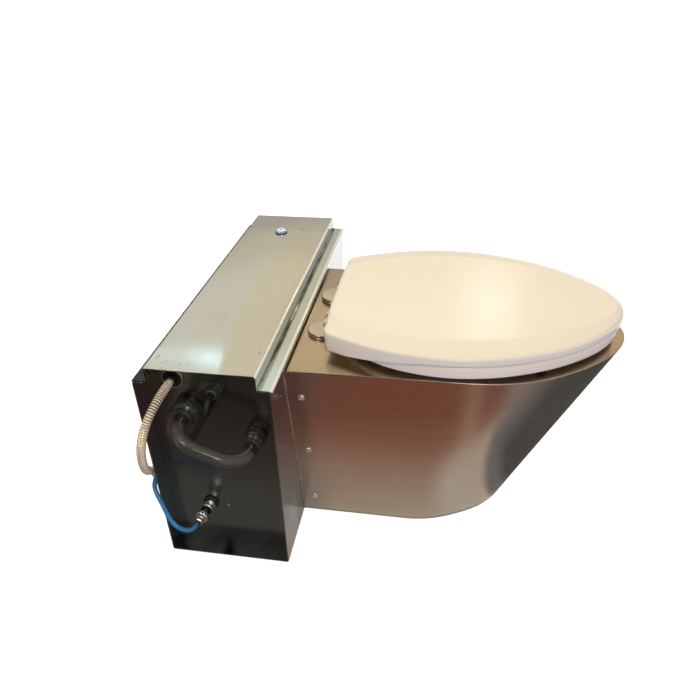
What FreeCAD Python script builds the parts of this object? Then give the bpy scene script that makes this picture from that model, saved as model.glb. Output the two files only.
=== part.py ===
import FreeCAD, Part
import Sketcher
import math
import os
from FreeCAD import Vector as V, Placement, Rotation

# Vacuum toilet: a folded-sheet service cabinet with a tapered pan shroud, a
# pressed bowl, a seat with lid, a pneumatic discharge valve and the water, air
# and power connections on the cabinet's near end.
# Millimetres, +Z up, the pan's front towards -Y, the connection end towards -X.
# Lengths below are measured from the cabinet's near lower front corner; every
# piece is then moved by (origin_x, origin_y) so that the origin is the middle
# of the footprint, on the floor.

doc = FreeCAD.newDocument("vacuum_toilet")
sheet = doc.addObject("Spreadsheet::Sheet", "Params")


class Q:
    """A length with both its value and its sheet expression."""

    def __init__(self, val, ex):
        self.val, self.ex = float(val), ex

    @staticmethod
    def of(v):
        return v if isinstance(v, Q) else Q(v, "%.6f" % v if v >= 0 else "(%.6f)" % v)

    def _op(self, other, sign, val):
        return Q(val, "(%s %s %s)" % (self.ex, sign, Q.of(other).ex))

    def __add__(self, o):
        return self._op(o, "+", self.val + Q.of(o).val)

    def __radd__(self, o):
        return Q.of(o) + self

    def __sub__(self, o):
        return self._op(o, "-", self.val - Q.of(o).val)

    def __rsub__(self, o):
        return Q.of(o) - self

    def __mul__(self, o):
        return self._op(o, "*", self.val * Q.of(o).val)

    def __rmul__(self, o):
        return Q.of(o) * self

    def __truediv__(self, o):
        return self._op(o, "/", self.val / Q.of(o).val)

    def __neg__(self):
        return Q.of(0) - self


def num(q):
    return q.val if isinstance(q, Q) else float(q)


rows = [0]


def par(alias, value, note):
    rows[0] += 1
    r = rows[0]
    sheet.set("A%d" % r, note)
    sheet.set("B%d" % r, repr(float(value)))
    sheet.setAlias("B%d" % r, alias)
    return Q(value, "Params." + alias)


# ---- driving dimensions ------------------------------------------------------
origin_x = par("origin_x", -286, "shift of the near lower front corner, x")
origin_y = par("origin_y", 150, "shift of the near lower front corner, y")
cab_len = par("cab_len", 628, "cabinet length")
cab_dep = par("cab_dep", 218, "cabinet depth")
gauge = par("gauge", 2, "sheet thickness")
ledge_h = par("ledge_h", 379.5, "ledge top height")
cover_h = par("cover_h", 404, "cover top height")
ledge_f = par("ledge_f", 20, "front ledge width")
ledge_r = par("ledge_r", 21, "rear ledge width")
lip_w = par("lip_w", 18, "inward lip width")
recess = par("recess", 33, "end panel recess")
flange_w = par("flange_w", 15, "end panel flange")
pan_x = par("pan_x", 258.3, "pan centre line, x")
deck_h = par("deck_h", 367.5, "deck height")
foot_half = par("foot_half", 127, "shroud half width at the floor")
rim_half = par("rim_half", 187, "shroud half width at the deck")
bowl_y = par("bowl_y", -300, "bowl mouth centre, y")
bowl_a = par("bowl_a", 142, "bowl mouth half width")
bowl_b = par("bowl_b", 182, "bowl mouth half length")
throat_y = par("throat_y", -180, "bowl throat centre, y")
throat_r = par("throat_r", 30, "bowl throat radius")
waste_z = par("waste_z", 42, "waste pipe axis height")
waste_r = par("waste_r", 27, "waste pipe outer radius")
waste_out = par("waste_out", 246, "waste pipe rear end, y")
hinge_gap = par("hinge_gap", 62, "hinge half spacing")
hinge_y = par("hinge_y", -52, "hinge axis, y")
hinge_z = par("hinge_z", 392, "hinge axis height")
pin_r = par("pin_r", 4, "hinge pin radius")
disc_r = par("disc_r", 28, "hinge disc radius")
disc_t = par("disc_t", 8, "hinge disc thickness")
seat_lo = par("seat_lo", 378, "seat underside height")
seat_hi = par("seat_hi", 400, "seat top height")
lid_lo = par("lid_lo", 402, "lid underside height")
lid_rim = par("lid_rim", 416, "lid rim height")
lid_top = par("lid_top", 424, "lid crown height")
butt_x = par("butt_x", 535, "flush button, x")
butt_y = par("butt_y", 117, "flush button, y")
butt_r = par("butt_r", 8.95, "flush button cap radius")
valve_z = par("valve_z", 110, "valve gate mid height")
gate_stroke = par("gate_stroke", 67, "valve gate stroke")
hem_y = par("hem_y", -4, "front hem of the cover, outer face")
hem_z = par("hem_z", 373, "lower edge of the front hem")
hose_od = par("hose_od", 22, "moulded hose outer diameter")
hose_id = par("hose_id", 15, "moulded hose inner diameter")
hose_bend = par("hose_bend", 41, "moulded hose bend radius")
ul_y = par("ul_y", 151.5, "left union, y")
ul_z = par("ul_z", 308.3, "left union height")
ur_y = par("ur_y", 43, "right union, y")
ur_z = par("ur_z", 263, "right union height")
water_y = par("water_y", 167.5, "water inlet, y")
water_z = par("water_z", 366, "water inlet height")
water_d = par("water_d", 14, "corrugated hose diameter")
gland_y = par("gland_y", 101, "cable gland, y")
gland_z = par("gland_z", 351, "cable gland height")
cable_d = par("cable_d", 9, "power cable diameter")
air_y = par("air_y", 142.5, "air inlet, y")
air_z = par("air_z", 98, "air inlet height")
air_d = par("air_d", 8, "air tube diameter")
anchor_r = par("anchor_r", 5.5, "floor anchor hole radius")
anchor_dx = par("anchor_dx", 480, "floor anchor spacing, x")
anchor_dy = par("anchor_dy", 130, "floor anchor spacing, y")
doc.recompute()

OFF = V(num(origin_x), num(origin_y), 0)
NODES = []


def bind(obj, prop, q):
    """Set a property from a number or a sheet expression."""
    if isinstance(q, Q):
        obj.setExpression(prop, q.ex)
    else:
        setattr(obj, prop, q)


def put(obj, label, pos=(0, 0, 0), rot=None):
    """Name a finished piece, place it, and keep it for writing."""
    obj.Label = label
    obj.Placement = Placement(V(num(pos[0]), num(pos[1]), num(pos[2])) + OFF, rot or Rotation())
    for axis, p, o in (("x", pos[0], origin_x), ("y", pos[1], origin_y), ("z", pos[2], None)):
        q = Q.of(p) + o if o is not None else Q.of(p)
        obj.setExpression("Placement.Base." + axis, q.ex)
    NODES.append(obj)
    return obj


def feat(label, shape):
    """A piece whose outline is freely curved."""
    o = doc.addObject("Part::Feature", label)
    o.Shape = shape
    o.Label = label
    o.Placement = Placement(OFF, Rotation())
    NODES.append(o)
    return o


def body(label):
    b = doc.addObject("PartDesign::Body", label)
    b.Label = label
    return b


def plane(b, role):
    return [f for f in b.Origin.OriginFeatures if f.Role == role][0]


def fix(sk, g, pos, x, y):
    for kind, axis, q in (("DistanceX", -2, x), ("DistanceY", -1, y)):
        if abs(num(q)) < 1e-9:
            sk.addConstraint(Sketcher.Constraint("PointOnObject", g, pos, axis))
        else:
            k = sk.addConstraint(Sketcher.Constraint(kind, -1, 1, g, pos, num(q)))
            if isinstance(q, Q):
                sk.setExpression("Constraints[%d]" % k, q.ex)


def sketch(b, role, loops, offset=None):
    """Loops are lists of corner points, or (x, y, radius) circles."""
    sk = b.newObject("Sketcher::SketchObject", b.Name + "_sk")
    sk.AttachmentSupport = [(plane(b, role), "")]
    sk.MapMode = "FlatFace"
    if offset is not None:
        sk.AttachmentOffset = Placement(V(0, 0, num(offset)), Rotation())
        if isinstance(offset, Q):
            sk.setExpression("AttachmentOffset.Base.z", offset.ex)
    for loop in loops:
        if isinstance(loop, list):
            n = len(loop)
            g0 = sk.GeometryCount
            for i in range(n):
                a, c = loop[i], loop[(i + 1) % n]
                sk.addGeometry(Part.LineSegment(V(num(a[0]), num(a[1]), 0), V(num(c[0]), num(c[1]), 0)), False)
            for i in range(n):
                sk.addConstraint(Sketcher.Constraint("Coincident", g0 + i, 2, g0 + (i + 1) % n, 1))
            for i in range(n):
                fix(sk, g0 + i, 1, loop[i][0], loop[i][1])
        else:
            x, y, r = loop
            g = sk.addGeometry(Part.Circle(V(num(x), num(y), 0), V(0, 0, 1), num(r)), False)
            k = sk.addConstraint(Sketcher.Constraint("Radius", g, num(r)))
            if isinstance(r, Q):
                sk.setExpression("Constraints[%d]" % k, r.ex)
            fix(sk, g, 3, x, y)
    return sk


def pad(b, sk, length, back=False):
    p = b.newObject("PartDesign::Pad", b.Name + "_pad")
    p.Profile = sk
    bind(p, "Length", length)
    p.Reversed = back
    sk.Visibility = False
    return p


def pocket(b, sk, length, back=False):
    doc.recompute()
    before = b.Shape.Volume
    p = b.newObject("PartDesign::Pocket", b.Name + "_cut")
    p.Profile = sk
    bind(p, "Length", length)
    p.Reversed = back
    doc.recompute()
    if not b.Shape.Volume < before - 1e-6:
        raise RuntimeError("nothing cut from " + b.Label)
    return p


def turned(label, profile, pos, axis=(0, 0, 1)):
    """A turned piece: corner points (radius, height) revolved about its own axis."""
    b = body(label)
    sk = sketch(b, "XZ_Plane", [profile])
    r = b.newObject("PartDesign::Revolution", b.Name + "_rev")
    r.Profile = sk
    r.ReferenceAxis = (sk, ["V_Axis"])
    r.Angle = 360
    return put(b, label, pos, Rotation(V(0, 0, 1), V(*axis)))


def hexnut(label, across, height, bore, pos, axis=(0, 0, 1)):
    pr = doc.addObject("Part::Prism", label + "_hex")
    pr.Polygon = 6
    bind(pr, "Circumradius", across)
    bind(pr, "Height", height)
    cy = doc.addObject("Part::Cylinder", label + "_bore")
    bind(cy, "Radius", bore)
    bind(cy, "Height", height)
    c = doc.addObject("Part::Cut", label)
    c.Base, c.Tool = pr, cy
    return put(c, label, pos, Rotation(V(0, 0, 1), V(*axis)))


def cyl(r, h, at, axis=(0, 0, 1)):
    return Part.makeCylinder(num(r), num(h), V(*[num(a) for a in at]), V(*axis))


def box(x0, x1, y0, y1, z0, z1):
    x0, x1, y0, y1, z0, z1 = [num(a) for a in (x0, x1, y0, y1, z0, z1)]
    return Part.makeBox(x1 - x0, y1 - y0, z1 - z0, V(x0, y0, z0))


def hexbar(circ, h, at, axis):
    """A hexagonal bar along an axis."""
    pts = [V(circ * math.cos(math.radians(60 * i)), circ * math.sin(math.radians(60 * i)), 0) for i in range(7)]
    s = Part.Face(Part.makePolygon(pts)).extrude(V(0, 0, h))
    s.Placement = Placement(V(*[num(a) for a in at]), Rotation(V(0, 0, 1), V(*axis)))
    return s


# ---- cabinet -----------------------------------------------------------------
wall_h = ledge_h - gauge
b = body("cabinet_shell")
sk = sketch(b, "YZ_Plane", [[
    (0, 0), (cab_dep, 0), (cab_dep, wall_h), (cab_dep - lip_w, wall_h),
    (cab_dep - lip_w, wall_h - gauge), (cab_dep - gauge, wall_h - gauge),
    (cab_dep - gauge, gauge), (gauge, gauge), (gauge, wall_h - gauge),
    (lip_w, wall_h - gauge), (lip_w, wall_h), (0, wall_h)]])
pad(b, sk, cab_len)
# the waste pipe passes through the front panel and the rear wall
sk = sketch(b, "XZ_Plane", [(pan_x, waste_z, waste_r + 4)])
pocket(b, sk, cab_dep)
# floor anchors
ax0, ax1 = cab_len / 2 - anchor_dx / 2, cab_len / 2 + anchor_dx / 2
ay0, ay1 = cab_dep / 2 - anchor_dy / 2, cab_dep / 2 + anchor_dy / 2
sk = sketch(b, "XY_Plane", [(ax0, ay0, anchor_r), (ax1, ay0, anchor_r), (ax0, ay1, anchor_r), (ax1, ay1, anchor_r)])
pocket(b, sk, gauge, True)
# tapped holes of the cover screws, in the rear lip
screw_x = [cab_len * k for k in (0.12, 0.5, 0.88)]
screw_y = cab_dep - ledge_r / 2
sk = sketch(b, "XY_Plane", [(x, screw_y, 2.55) for x in screw_x], wall_h - gauge)
pocket(b, sk, gauge, True)
put(b, "cabinet_shell")

# hat-section cover: ledges in front and behind, a raised flat top between, a hem over the front panel
b = body("cabinet_cover")
lf, lr = ledge_f, cab_dep - ledge_r
sk = sketch(b, "YZ_Plane", [[
    (hem_y + gauge, wall_h), (lf + gauge, wall_h), (lf + gauge, cover_h - gauge), (lr - gauge, cover_h - gauge),
    (lr - gauge, wall_h), (cab_dep, wall_h), (cab_dep, ledge_h), (lr, ledge_h),
    (lr, cover_h), (lf, cover_h), (lf, ledge_h), (hem_y, ledge_h), (hem_y, hem_z), (hem_y + gauge, hem_z)]])
pad(b, sk, cab_len)
sk = sketch(b, "XY_Plane", [(butt_x, butt_y, 11.2)], cover_h - gauge)
pocket(b, sk, gauge, True)
sk = sketch(b, "XY_Plane", [(x, screw_y, 2.75) for x in screw_x], wall_h)
pocket(b, sk, gauge, True)
put(b, "cabinet_cover")


def end_panel(label, x0, inward, holes):
    """A recessed end panel with flanges folded inwards along its walls and floor."""
    b = body(label)
    sk = sketch(b, "YZ_Plane", [[
        (gauge, gauge), (cab_dep - gauge, gauge), (cab_dep - gauge, wall_h - gauge),
        (lr - gauge - 0.3, wall_h - gauge), (lr - gauge - 0.3, cover_h - gauge - 0.2),
        (lf + gauge + 0.3, cover_h - gauge - 0.2), (lf + gauge + 0.3, wall_h - gauge), (gauge, wall_h - gauge)]], x0)
    pad(b, sk, gauge)
    x1 = x0 + gauge if inward else x0 - flange_w
    f = [(gauge, gauge), (cab_dep - gauge, gauge), (cab_dep - gauge, wall_h - 40),
         (cab_dep - gauge * 2, wall_h - 40), (cab_dep - gauge * 2, gauge * 2),
         (gauge * 2, gauge * 2), (gauge * 2, wall_h - 40), (gauge, wall_h - 40)]
    sk = sketch(b, "YZ_Plane", [f], x1)
    pad(b, sk, flange_w)
    if holes:
        sk = sketch(b, "YZ_Plane", holes, x0)
        pocket(b, sk, gauge, True)
    return put(b, label)


end_panel("end_panel_near", recess, True, [
    (water_y, water_z, 15), (ul_y, ul_z, 17), (ur_y, ur_z, 13), (gland_y, gland_z, 10.6), (air_y, air_z, 6.8),
    (Q.of(111.5), Q.of(95), 1.55)])
end_panel("end_panel_far", cab_len - recess - gauge, False, [])

# cover screws on the rear ledge
screws = []
for x in screw_x:
    at = (num(x), num(screw_y), 0)
    head = cyl(4.75, 2.8, (at[0], at[1], num(ledge_h)))
    head = head.makeFillet(1.6, [e for e in head.Edges if abs(e.BoundBox.ZMin - num(ledge_h) - 2.8) < 1e-6 and e.Closed])
    sock = hexbar(1.75, 2, (at[0], at[1], num(ledge_h) + 1.2), (0, 0, 1))
    screws.append(head.fuse(cyl(2.5, 14, (at[0], at[1], num(ledge_h) - 14))).cut(sock).removeSplitter())
feat("cover_screws", Part.makeCompound(screws))

# ---- flush button ------------------------------------------------------------
turned("button_gasket", [(11.2, 0), (13.6, 0), (13.6, 1), (11.2, 1)], (butt_x, butt_y, cover_h))
turned("button_housing", [
    (3.05, -29), (11, -29), (11, 1), (13, 1), (13, 3.2), (12.2, 4), (butt_r + 0.25, 4), (butt_r + 0.25, -11), (3.05, -11)],
    (butt_x, butt_y, cover_h))
turned("button_light_ring", [(9.4, 4), (11.6, 4), (11.6, 4.5), (11.2, 4.8), (9.8, 4.8), (9.4, 4.5)], (butt_x, butt_y, cover_h))
turned("button_cap", [(0, -26), (3, -26), (3, -3), (butt_r, -3), (butt_r, 5.2), (butt_r - 0.8, 6), (0, 6.4)], (butt_x, butt_y, cover_h))
hexnut("button_nut", 15.6, 5, 11.05, (butt_x, butt_y, cover_h - gauge - 5))

# ---- connections on the near end panel, each along -X ---------------------------
OUT = (-1, 0, 0)
pf = (recess, water_y, water_z)
turned("hose_ring", [(15, 0), (18.2, 0), (18.2, 2), (17.4, 2.8), (15.6, 2.8), (15, 2)], pf, OUT)
turned("water_inlet", [(0, -10), (14.5, -10), (14.5, 0.6), (8.6, 0.6), (8.6, 11), (0, 11)], pf, OUT)
# solenoid water valve screwed to the inlet's inner end
xi = num(recess) + 10
shape = box(xi, xi + 46, num(water_y) - 15, num(water_y) + 15, num(water_z) - 15, num(water_z) + 15)
shape = shape.fuse(cyl(13, 46, (xi + 23, num(water_y), num(water_z) - 61)))
feat("water_valve", shape.removeSplitter())


def union(side, y, z, thread, flange, nut, neck, back, depth):
    """Bulkhead tail and union nut that clamp one end of the moulded hose."""
    hr = hose_od / 2
    turned("union_%s_body" % side, [(9, -14), (thread, -14), (thread, 0), (flange, 0), (flange, depth - 0.8),
           (flange - 0.8, depth), (thread, depth), (thread, 13), (9, 13)], (recess, y, z), OUT)
    turned("union_%s_nut" % side, [(thread + 0.15, depth + 0.2), (nut - 1, depth + 0.2), (nut, depth + 1.2), (nut, 20), (nut - 1, 21),
           (neck, 21), (neck, 30), (neck - 1, 31), (hr + 0.2, 31), (hr + 0.2, 13), (thread + 0.15, 13)], (recess, y, z), OUT)


union("left", ul_y, ul_z, 16.8, 24.5, 23, 17.8, 25, 5)
union("right", ur_y, ur_z, 12.8, 19, 18, 16, 19, 4)

# moulded hose between the two unions: out, round, back
p0 = V(num(recess) - 13, num(ul_y), num(ul_z))
p1 = V(num(recess) - 13, num(ur_y), num(ur_z))
d = (p1 - p0)
span = d.Length
d.normalize()
R = num(hose_bend)
xs = num(recess) - 13 - 24
out = V(-1, 0, 0)


def hose_path():
    k = math.sqrt(0.5)
    a0 = V(xs, p0.y, p0.z)
    a2 = a0 + d * R + out * R
    a1 = a0 + d * (R - R * k) + out * (R * k)
    b0 = a0 + d * (span - R) + out * R
    b2 = V(xs, p1.y, p1.z)
    b1 = b2 - d * (R - R * k) + out * (R * k)
    return Part.Wire([Part.LineSegment(p0, a0).toShape(), Part.Arc(a0, a1, a2).toShape(),
                      Part.LineSegment(a2, b0).toShape(), Part.Arc(b0, b1, b2).toShape(), Part.LineSegment(b2, p1).toShape()])


def tube(path, r, start, direction):
    prof = Part.Wire([Part.makeCircle(r, start, direction)])
    return path.makePipeShell([prof], True, True)


w = hose_path()
rinse = tube(w, num(hose_od) / 2, p0, out).cut(tube(w, num(hose_id) / 2, p0, out))
feat("rinse_hose", rinse)

# cable gland
gb = hexbar(14.5, 6, (num(recess), num(gland_y), num(gland_z)), OUT)
gb = gb.fuse(cyl(10.5, 12, (num(recess), num(gland_y), num(gland_z)), (1, 0, 0)))
feat("gland_body", gb.removeSplitter())
turned("gland_nut", [(0, 6), (10.9, 6), (10.9, 14.5), (9.8, 17.8), (7.2, 19), (0, 19)], (recess, gland_y, gland_z), OUT)
# air inlet: rubber washer, bulkhead nipple, quick coupler with sliding sleeve, collet
pa = (recess, air_y, air_z)
turned("air_washer", [(6.8, 0), (14, 0), (14.5, 1), (14, 2.6), (6.8, 2.6)], pa, OUT)
# the coupler hangs a little to the rear, where its tube pulls it
lean = (-0.98922, 0.14640, 0)
pivot = (num(recess) - 5, num(air_y), num(air_z))
sh = cyl(6.7, 12, (num(recess), num(air_y), num(air_z)), (1, 0, 0))
sh = sh.fuse(cyl(6.7, 2.6, (num(recess), num(air_y), num(air_z)), OUT))
sh = sh.fuse(cyl(9.6, 5.4, (num(recess) - 2.6, num(air_y), num(air_z)), OUT))
sh = sh.fuse(hexbar(8.2, 6.5, pivot, lean))
feat("air_nipple", sh.removeSplitter())
turned("air_coupler", [(0, 6.5), (8, 6.5), (8, 8), (7, 8.6), (7, 40.4), (8.2, 41), (8.2, 44), (6.8, 46), (0, 46)], pivot, lean)
turned("air_sleeve", [(7.06, 9), (9.6, 9), (10.6, 9.9), (10.6, 12.6), (9.2, 14), (9.2, 25.4), (11.2, 27.4), (12.2, 28.8), (12.2, 32.8), (11.2, 34.6), (9.4, 36), (7.06, 36)], pivot, lean)
turned("air_collet", [(0, 46), (5, 46), (5.8, 46.6), (5.8, 50.2), (5.2, 51), (0, 51)], pivot, lean)
sh = box(num(recess) + 12, num(recess) + 56, num(air_y) - 20, num(air_y) + 20, num(air_z) - 20, num(air_z) + 20)
sh = sh.fuse(cyl(15, 34, (num(recess) + 34, num(air_y), num(air_z) + 20)))
feat("air_regulator", sh.removeSplitter())
# lock nuts behind the panel
nuts = []
for y, z, circ, bore, h in ((ul_y, ul_z, 25, 16.85, 8), (ur_y, ur_z, 19, 12.85, 8), (gland_y, gland_z, 15.5, 10.55, 6), (air_y, air_z, 11, 6.75, 5)):
    at = (num(recess) + 2, num(y), num(z))
    nuts.append(hexbar(circ, h, at, (1, 0, 0)).cut(cyl(bore, h, at, (1, 0, 0))))
feat("panel_locknuts", Part.makeCompound(nuts))
turned("earth_stud", [(0, -14), (1.5, -14), (1.5, 0), (2.6, 0), (2.5, 0.8), (1.6, 1.5), (0, 1.7)], (recess, 111.5, 95), OUT)


# ---- hoses and cable that hang free ----------------------------------------------
def route(pts, dia, name):
    """Straight runs joined by tangent arcs as large as the runs allow."""
    pts = [V(*p) for p in pts]
    n = len(pts)
    edges, last, radii = [], pts[0], []
    for i in range(1, n - 1):
        a, c = pts[i] - pts[i - 1], pts[i + 1] - pts[i]
        la, lc = a.Length, c.Length
        a.normalize()
        c.normalize()
        turn = math.acos(max(-1, min(1, a.dot(c))))
        back = 0.45 * min(la, lc)
        r = back / math.tan(turn / 2)
        radii.append(r)
        s, e = pts[i] - a * back, pts[i] + c * back
        bis = (c - a)
        bis.normalize()
        mid = pts[i] + bis * (r / math.cos(turn / 2) - r)
        edges.append(Part.LineSegment(last, s).toShape())
        edges.append(Part.Arc(s, mid, e).toShape())
        last = e
    edges.append(Part.LineSegment(last, pts[-1]).toShape())
    w = Part.Wire(edges)
    t = pts[1] - pts[0]
    shape = tube(w, dia / 2, pts[0], t)
    want = math.pi * dia * dia / 4 * w.Length
    print("%s length %.1f radii %s" % (name, w.Length, [round(x, 1) for x in radii]))
    if not shape.isValid() or abs(shape.Volume - want) > 0.02 * want:
        raise RuntimeError("bad tube " + name)
    e = pts[-1] - pts[-2]
    e.normalize()
    return shape, pts[-1], e


WATER = [(22, 167.5, 366), (3, 167.5, 366.4), (-17, 168.5, 364.5), (-34, 171.5, 358), (-47, 177, 346), (-55, 183.5, 329),
         (-57, 190.5, 308), (-54, 197.5, 285.5), (-47.5, 203.5, 263), (-38, 209.5, 241), (-26, 215.5, 221), (-11.5, 222, 204),
         (3.5, 229.5, 189), (19, 237, 175.5), (34, 243, 159.5), (47.5, 246.6, 140), (58, 248.6, 117.5), (67.5, 249.8, 93.5),
         (79, 251, 69.5), (94.5, 252.2, 46), (114, 253.5, 27), (135, 255.8, 16.5), (154, 256.8, 11.8), (172, 256.8, 11.8)]
AIR = [(-22.45, 149.966, 98), (-29.8, 151.3, 98.3), (-36.2, 155.4, 100.2), (-40.4, 161.6, 103.6), (-42.2, 169.6, 108.4), (-41.2, 178, 114.2),
       (-37, 186.4, 120.8), (-30.2, 194.6, 128), (-22, 202.8, 135.2), (-13.5, 211.7, 141), (-6, 219.8, 147), (3, 226.4, 153),
       (14.5, 229.8, 156.5), (26.5, 231.2, 155.5), (37.5, 232, 149), (46, 232.4, 137), (51.5, 232.5, 121), (55, 232.6, 103),
       (59, 232.8, 84), (65, 233.1, 65), (73.5, 233.5, 46.5), (83.5, 233.9, 30.5), (98, 234.5, 18), (116, 235.3, 9.6), (136, 235.3, 7), (155, 235.3, 7)]
CABLE = [(14, 101, 351), (5.5, 101, 350.8), (-2, 101.2, 347.8), (-7.3, 102.3, 340.9), (-9.7, 105.2, 332.4), (-9.6, 109.9, 321.9),
         (-7.2, 116.2, 309.8), (-3.2, 123.6, 296.7), (0.4, 129.4, 286.4), (4.2, 135.3, 277)]

shape, end, dirn = route(WATER, num(water_d), "water_hose")
feat("water_hose", shape)
nutd = (dirn.x, dirn.y, dirn.z)
fer = cyl(8.6, 16, (end.x, end.y, end.z), nutd)
e2 = end + dirn * 16
nut = hexbar(11, 17, (e2.x, e2.y, e2.z), nutd)
e3 = e2 + dirn * 9
nut = nut.cut(cyl(8.3, 9, (e3.x, e3.y, e3.z), nutd))
feat("water_hose_nut", fer.fuse(nut).removeSplitter())

shape, end, dirn = route(AIR, num(air_d), "air_tube")
feat("air_tube", shape)
nutd = (dirn.x, dirn.y, dirn.z)
e2 = end + dirn * 12
e3 = end + dirn * 20
plug = cyl(6.4, 12, (end.x, end.y, end.z), nutd).fuse(hexbar(6.6, 8, (e2.x, e2.y, e2.z), nutd)).fuse(cyl(4.6, 16, (e3.x, e3.y, e3.z), nutd))
feat("air_tube_plug", plug.removeSplitter())

shape, end, dirn = route(CABLE, num(cable_d), "power_cable")
feat("power_cable", shape)
nutd = (dirn.x, dirn.y, dirn.z)
sleeve = cyl(5.2, 10, (end.x, end.y, end.z), nutd)
sleeve = sleeve.makeFillet(1.2, [e for e in sleeve.Edges if e.Closed])
feat("cable_end_sleeve", sleeve)

# ---- pan: shroud, deck, bowl -----------------------------------------------------
cx = num(pan_x)
top_z = num(deck_h) - num(gauge)
RIM = [(num(rim_half) - 3, -240), (182.5, -311), (175.5, -356), (159.5, -402), (131, -451), (98.5, -492), (55, -529), (0, -546)]
FOOT = [(num(foot_half), -190), (124, -228), (113.5, -265), (97, -300), (75, -334), (50, -358), (25.5, -373), (0, -378)]
SIDE = {"rim": (num(rim_half), RIM), "foot": (num(foot_half), FOOT)}


def inset(pts, t):
    """The same half outline moved inwards by t."""
    if not t:
        return pts
    res = []
    n = len(pts)
    for i in range(n):
        a = pts[max(0, i - 1)]
        c = pts[i + 1] if i + 1 < n else (-pts[i - 1][0], pts[i - 1][1])
        tx, ty = c[0] - a[0], c[1] - a[1]
        if i == 0:
            tx, ty = 0, -1
        m = math.hypot(tx, ty)
        res.append((pts[i][0] + ty / m * t, pts[i][1] - tx / m * t))
    res[-1] = (0, res[-1][1])
    return res


def at_height(z, t, rear):
    """Half width at the rear and the half outline of the shroud at a height."""
    k = z / top_z
    f, r = inset(FOOT, t), inset(RIM, t)
    hw = (num(foot_half) - t) * (1 - k) + (num(rim_half) - t) * k
    pts = [(a[0] * (1 - k) + c[0] * k, a[1] * (1 - k) + c[1] * k) for a, c in zip(f, r)]
    return hw, pts, rear


def pan_wire(z, t=0, rear=0.0):
    hw, pts, rear = at_height(z, t, rear)
    full = [V(cx - x, y, z) for x, y in pts] + [V(cx + x, y, z) for x, y in reversed(pts[:-1])]
    # the side keeps its line when the outline is drawn further to the rear
    slope = (hw - pts[0][0]) / (0 - pts[0][1])
    hw = hw + slope * rear
    sp = Part.BSplineCurve()
    t0 = V(hw - pts[0][0], pts[0][1] - rear, 0)
    t0.normalize()
    sp.interpolate(Points=full, InitialTangent=t0 * 1.0, FinalTangent=V(t0.x, -t0.y, 0))
    a, e = V(cx - hw, rear, z), V(cx + hw, rear, z)
    return Part.Wire([Part.LineSegment(a, full[0]).toShape(), sp.toShape(), Part.LineSegment(full[-1], e).toShape(),
                      Part.LineSegment(e, a).toShape()])


T = num(gauge)
outer = Part.makeLoft([pan_wire(0), pan_wire(top_z)], True, True)
inner = Part.makeLoft([pan_wire(-2, T, 6), pan_wire(top_z + 2, T, 6)], True, True)
shroud = outer.cut(inner)

# bolts through the shroud's two flanks into angle brackets on the front panel
lean = math.atan2(num(rim_half) - num(foot_half), top_z)
bolt_y, bolt_z = -24.0, (311.0, 180.0, 46.0)


def flank(z, y):
    """Half width of the shroud's outer face at a height, near the rear."""
    k = z / top_z
    r0 = num(foot_half)
    r1 = num(rim_half) + (RIM[0][0] - num(rim_half)) * y / RIM[0][1]
    return r0 * (1 - k) + r1 * k


bolts, holes = [], []
for s in (-1, 1):
    for z in bolt_z:
        p = V(cx + s * flank(z, bolt_y), bolt_y, z)
        # the flank also closes in slightly towards the front
        ty = 3.0 / 240 * z / top_z
        nrm = V(s * math.cos(lean), 0, -math.sin(lean))
        nrm = V(nrm.x, -ty * 1.0, nrm.z)
        nrm.normalize()
        ins = nrm * -1
        head = Part.makeCylinder(5.8, 3.4, p + nrm * 0.05, nrm)
        edge = [e for e in head.Edges if e.Closed and (e.CenterOfMass - (p + nrm * 3.45)).Length < 1e-6]
        head = head.makeFillet(2.6, edge)
        shank = Part.makeCylinder(3.0, 20, p + nrm * 0.05, ins)
        sock = hexbar(2.3, 2, (p + nrm * 1.6), (nrm.x, nrm.y, nrm.z))
        bolts.append(head.fuse(shank).cut(sock).removeSplitter())
        holes.append(Part.makeCylinder(3.2, 30, p + nrm * 5, ins))
hole = holes[0].multiFuse(holes[1:])
feat("shroud", shroud.cut(hole))
feat("shroud_bolts", Part.makeCompound(bolts))


def bracket(s):
    """Angle strip: one leg on the front panel, one leg along the shroud's flank."""
    def wire(z):
        k = z / top_z
        hw = lambda y: flank(z, y) - T / math.cos(lean) - 0.15
        a = [(hw(0), 0), (hw(-40), -40), (hw(-40) - 3, -40), (hw(-3) - 3, -3), (hw(0) - 30, -3), (hw(0) - 30, 0)]
        pts = [V(cx + s * x, y, z) for x, y in a]
        return Part.makePolygon(pts + pts[:1])
    return Part.makeLoft([wire(8), wire(top_z - 3)], True, True)


feat("shroud_brackets", Part.makeCompound([bracket(s).cut(hole) for s in (-1, 1)]))


def ellipse(a, c, y, z, x=None):
    x = cx if x is None else x
    e = Part.Ellipse(V(x, y + c, z), V(x - a, y, z), V(x, y, z))
    return Part.Wire([e.toShape()])


BA, BB, BY = num(bowl_a), num(bowl_b), num(bowl_y)
deck = Part.Face(pan_wire(top_z)).extrude(V(0, 0, T))
deck = deck.cut(Part.Face(ellipse(BA, BB, BY, top_z - 1)).extrude(V(0, 0, T + 2)))
for s in (-1, 1):
    deck = deck.cut(cyl(4.3, 10, (cx + s * num(hinge_gap), num(hinge_y) + 10, top_z - 4)))
feat("deck_plate", deck)

TY, TR = num(throat_y), num(throat_r)
SECT = [(BA, BB, BY, top_z), (BA - 8, BB - 12, BY + 3, 322), (BA - 30, BB - 42, BY + 19, 262), (BA - 66, BB - 92, BY + 58, 196),
        (TR + 14, TR + 20, BY + 98, 152), (TR + 0.01, TR + 0.03, TY, 128)]


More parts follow.
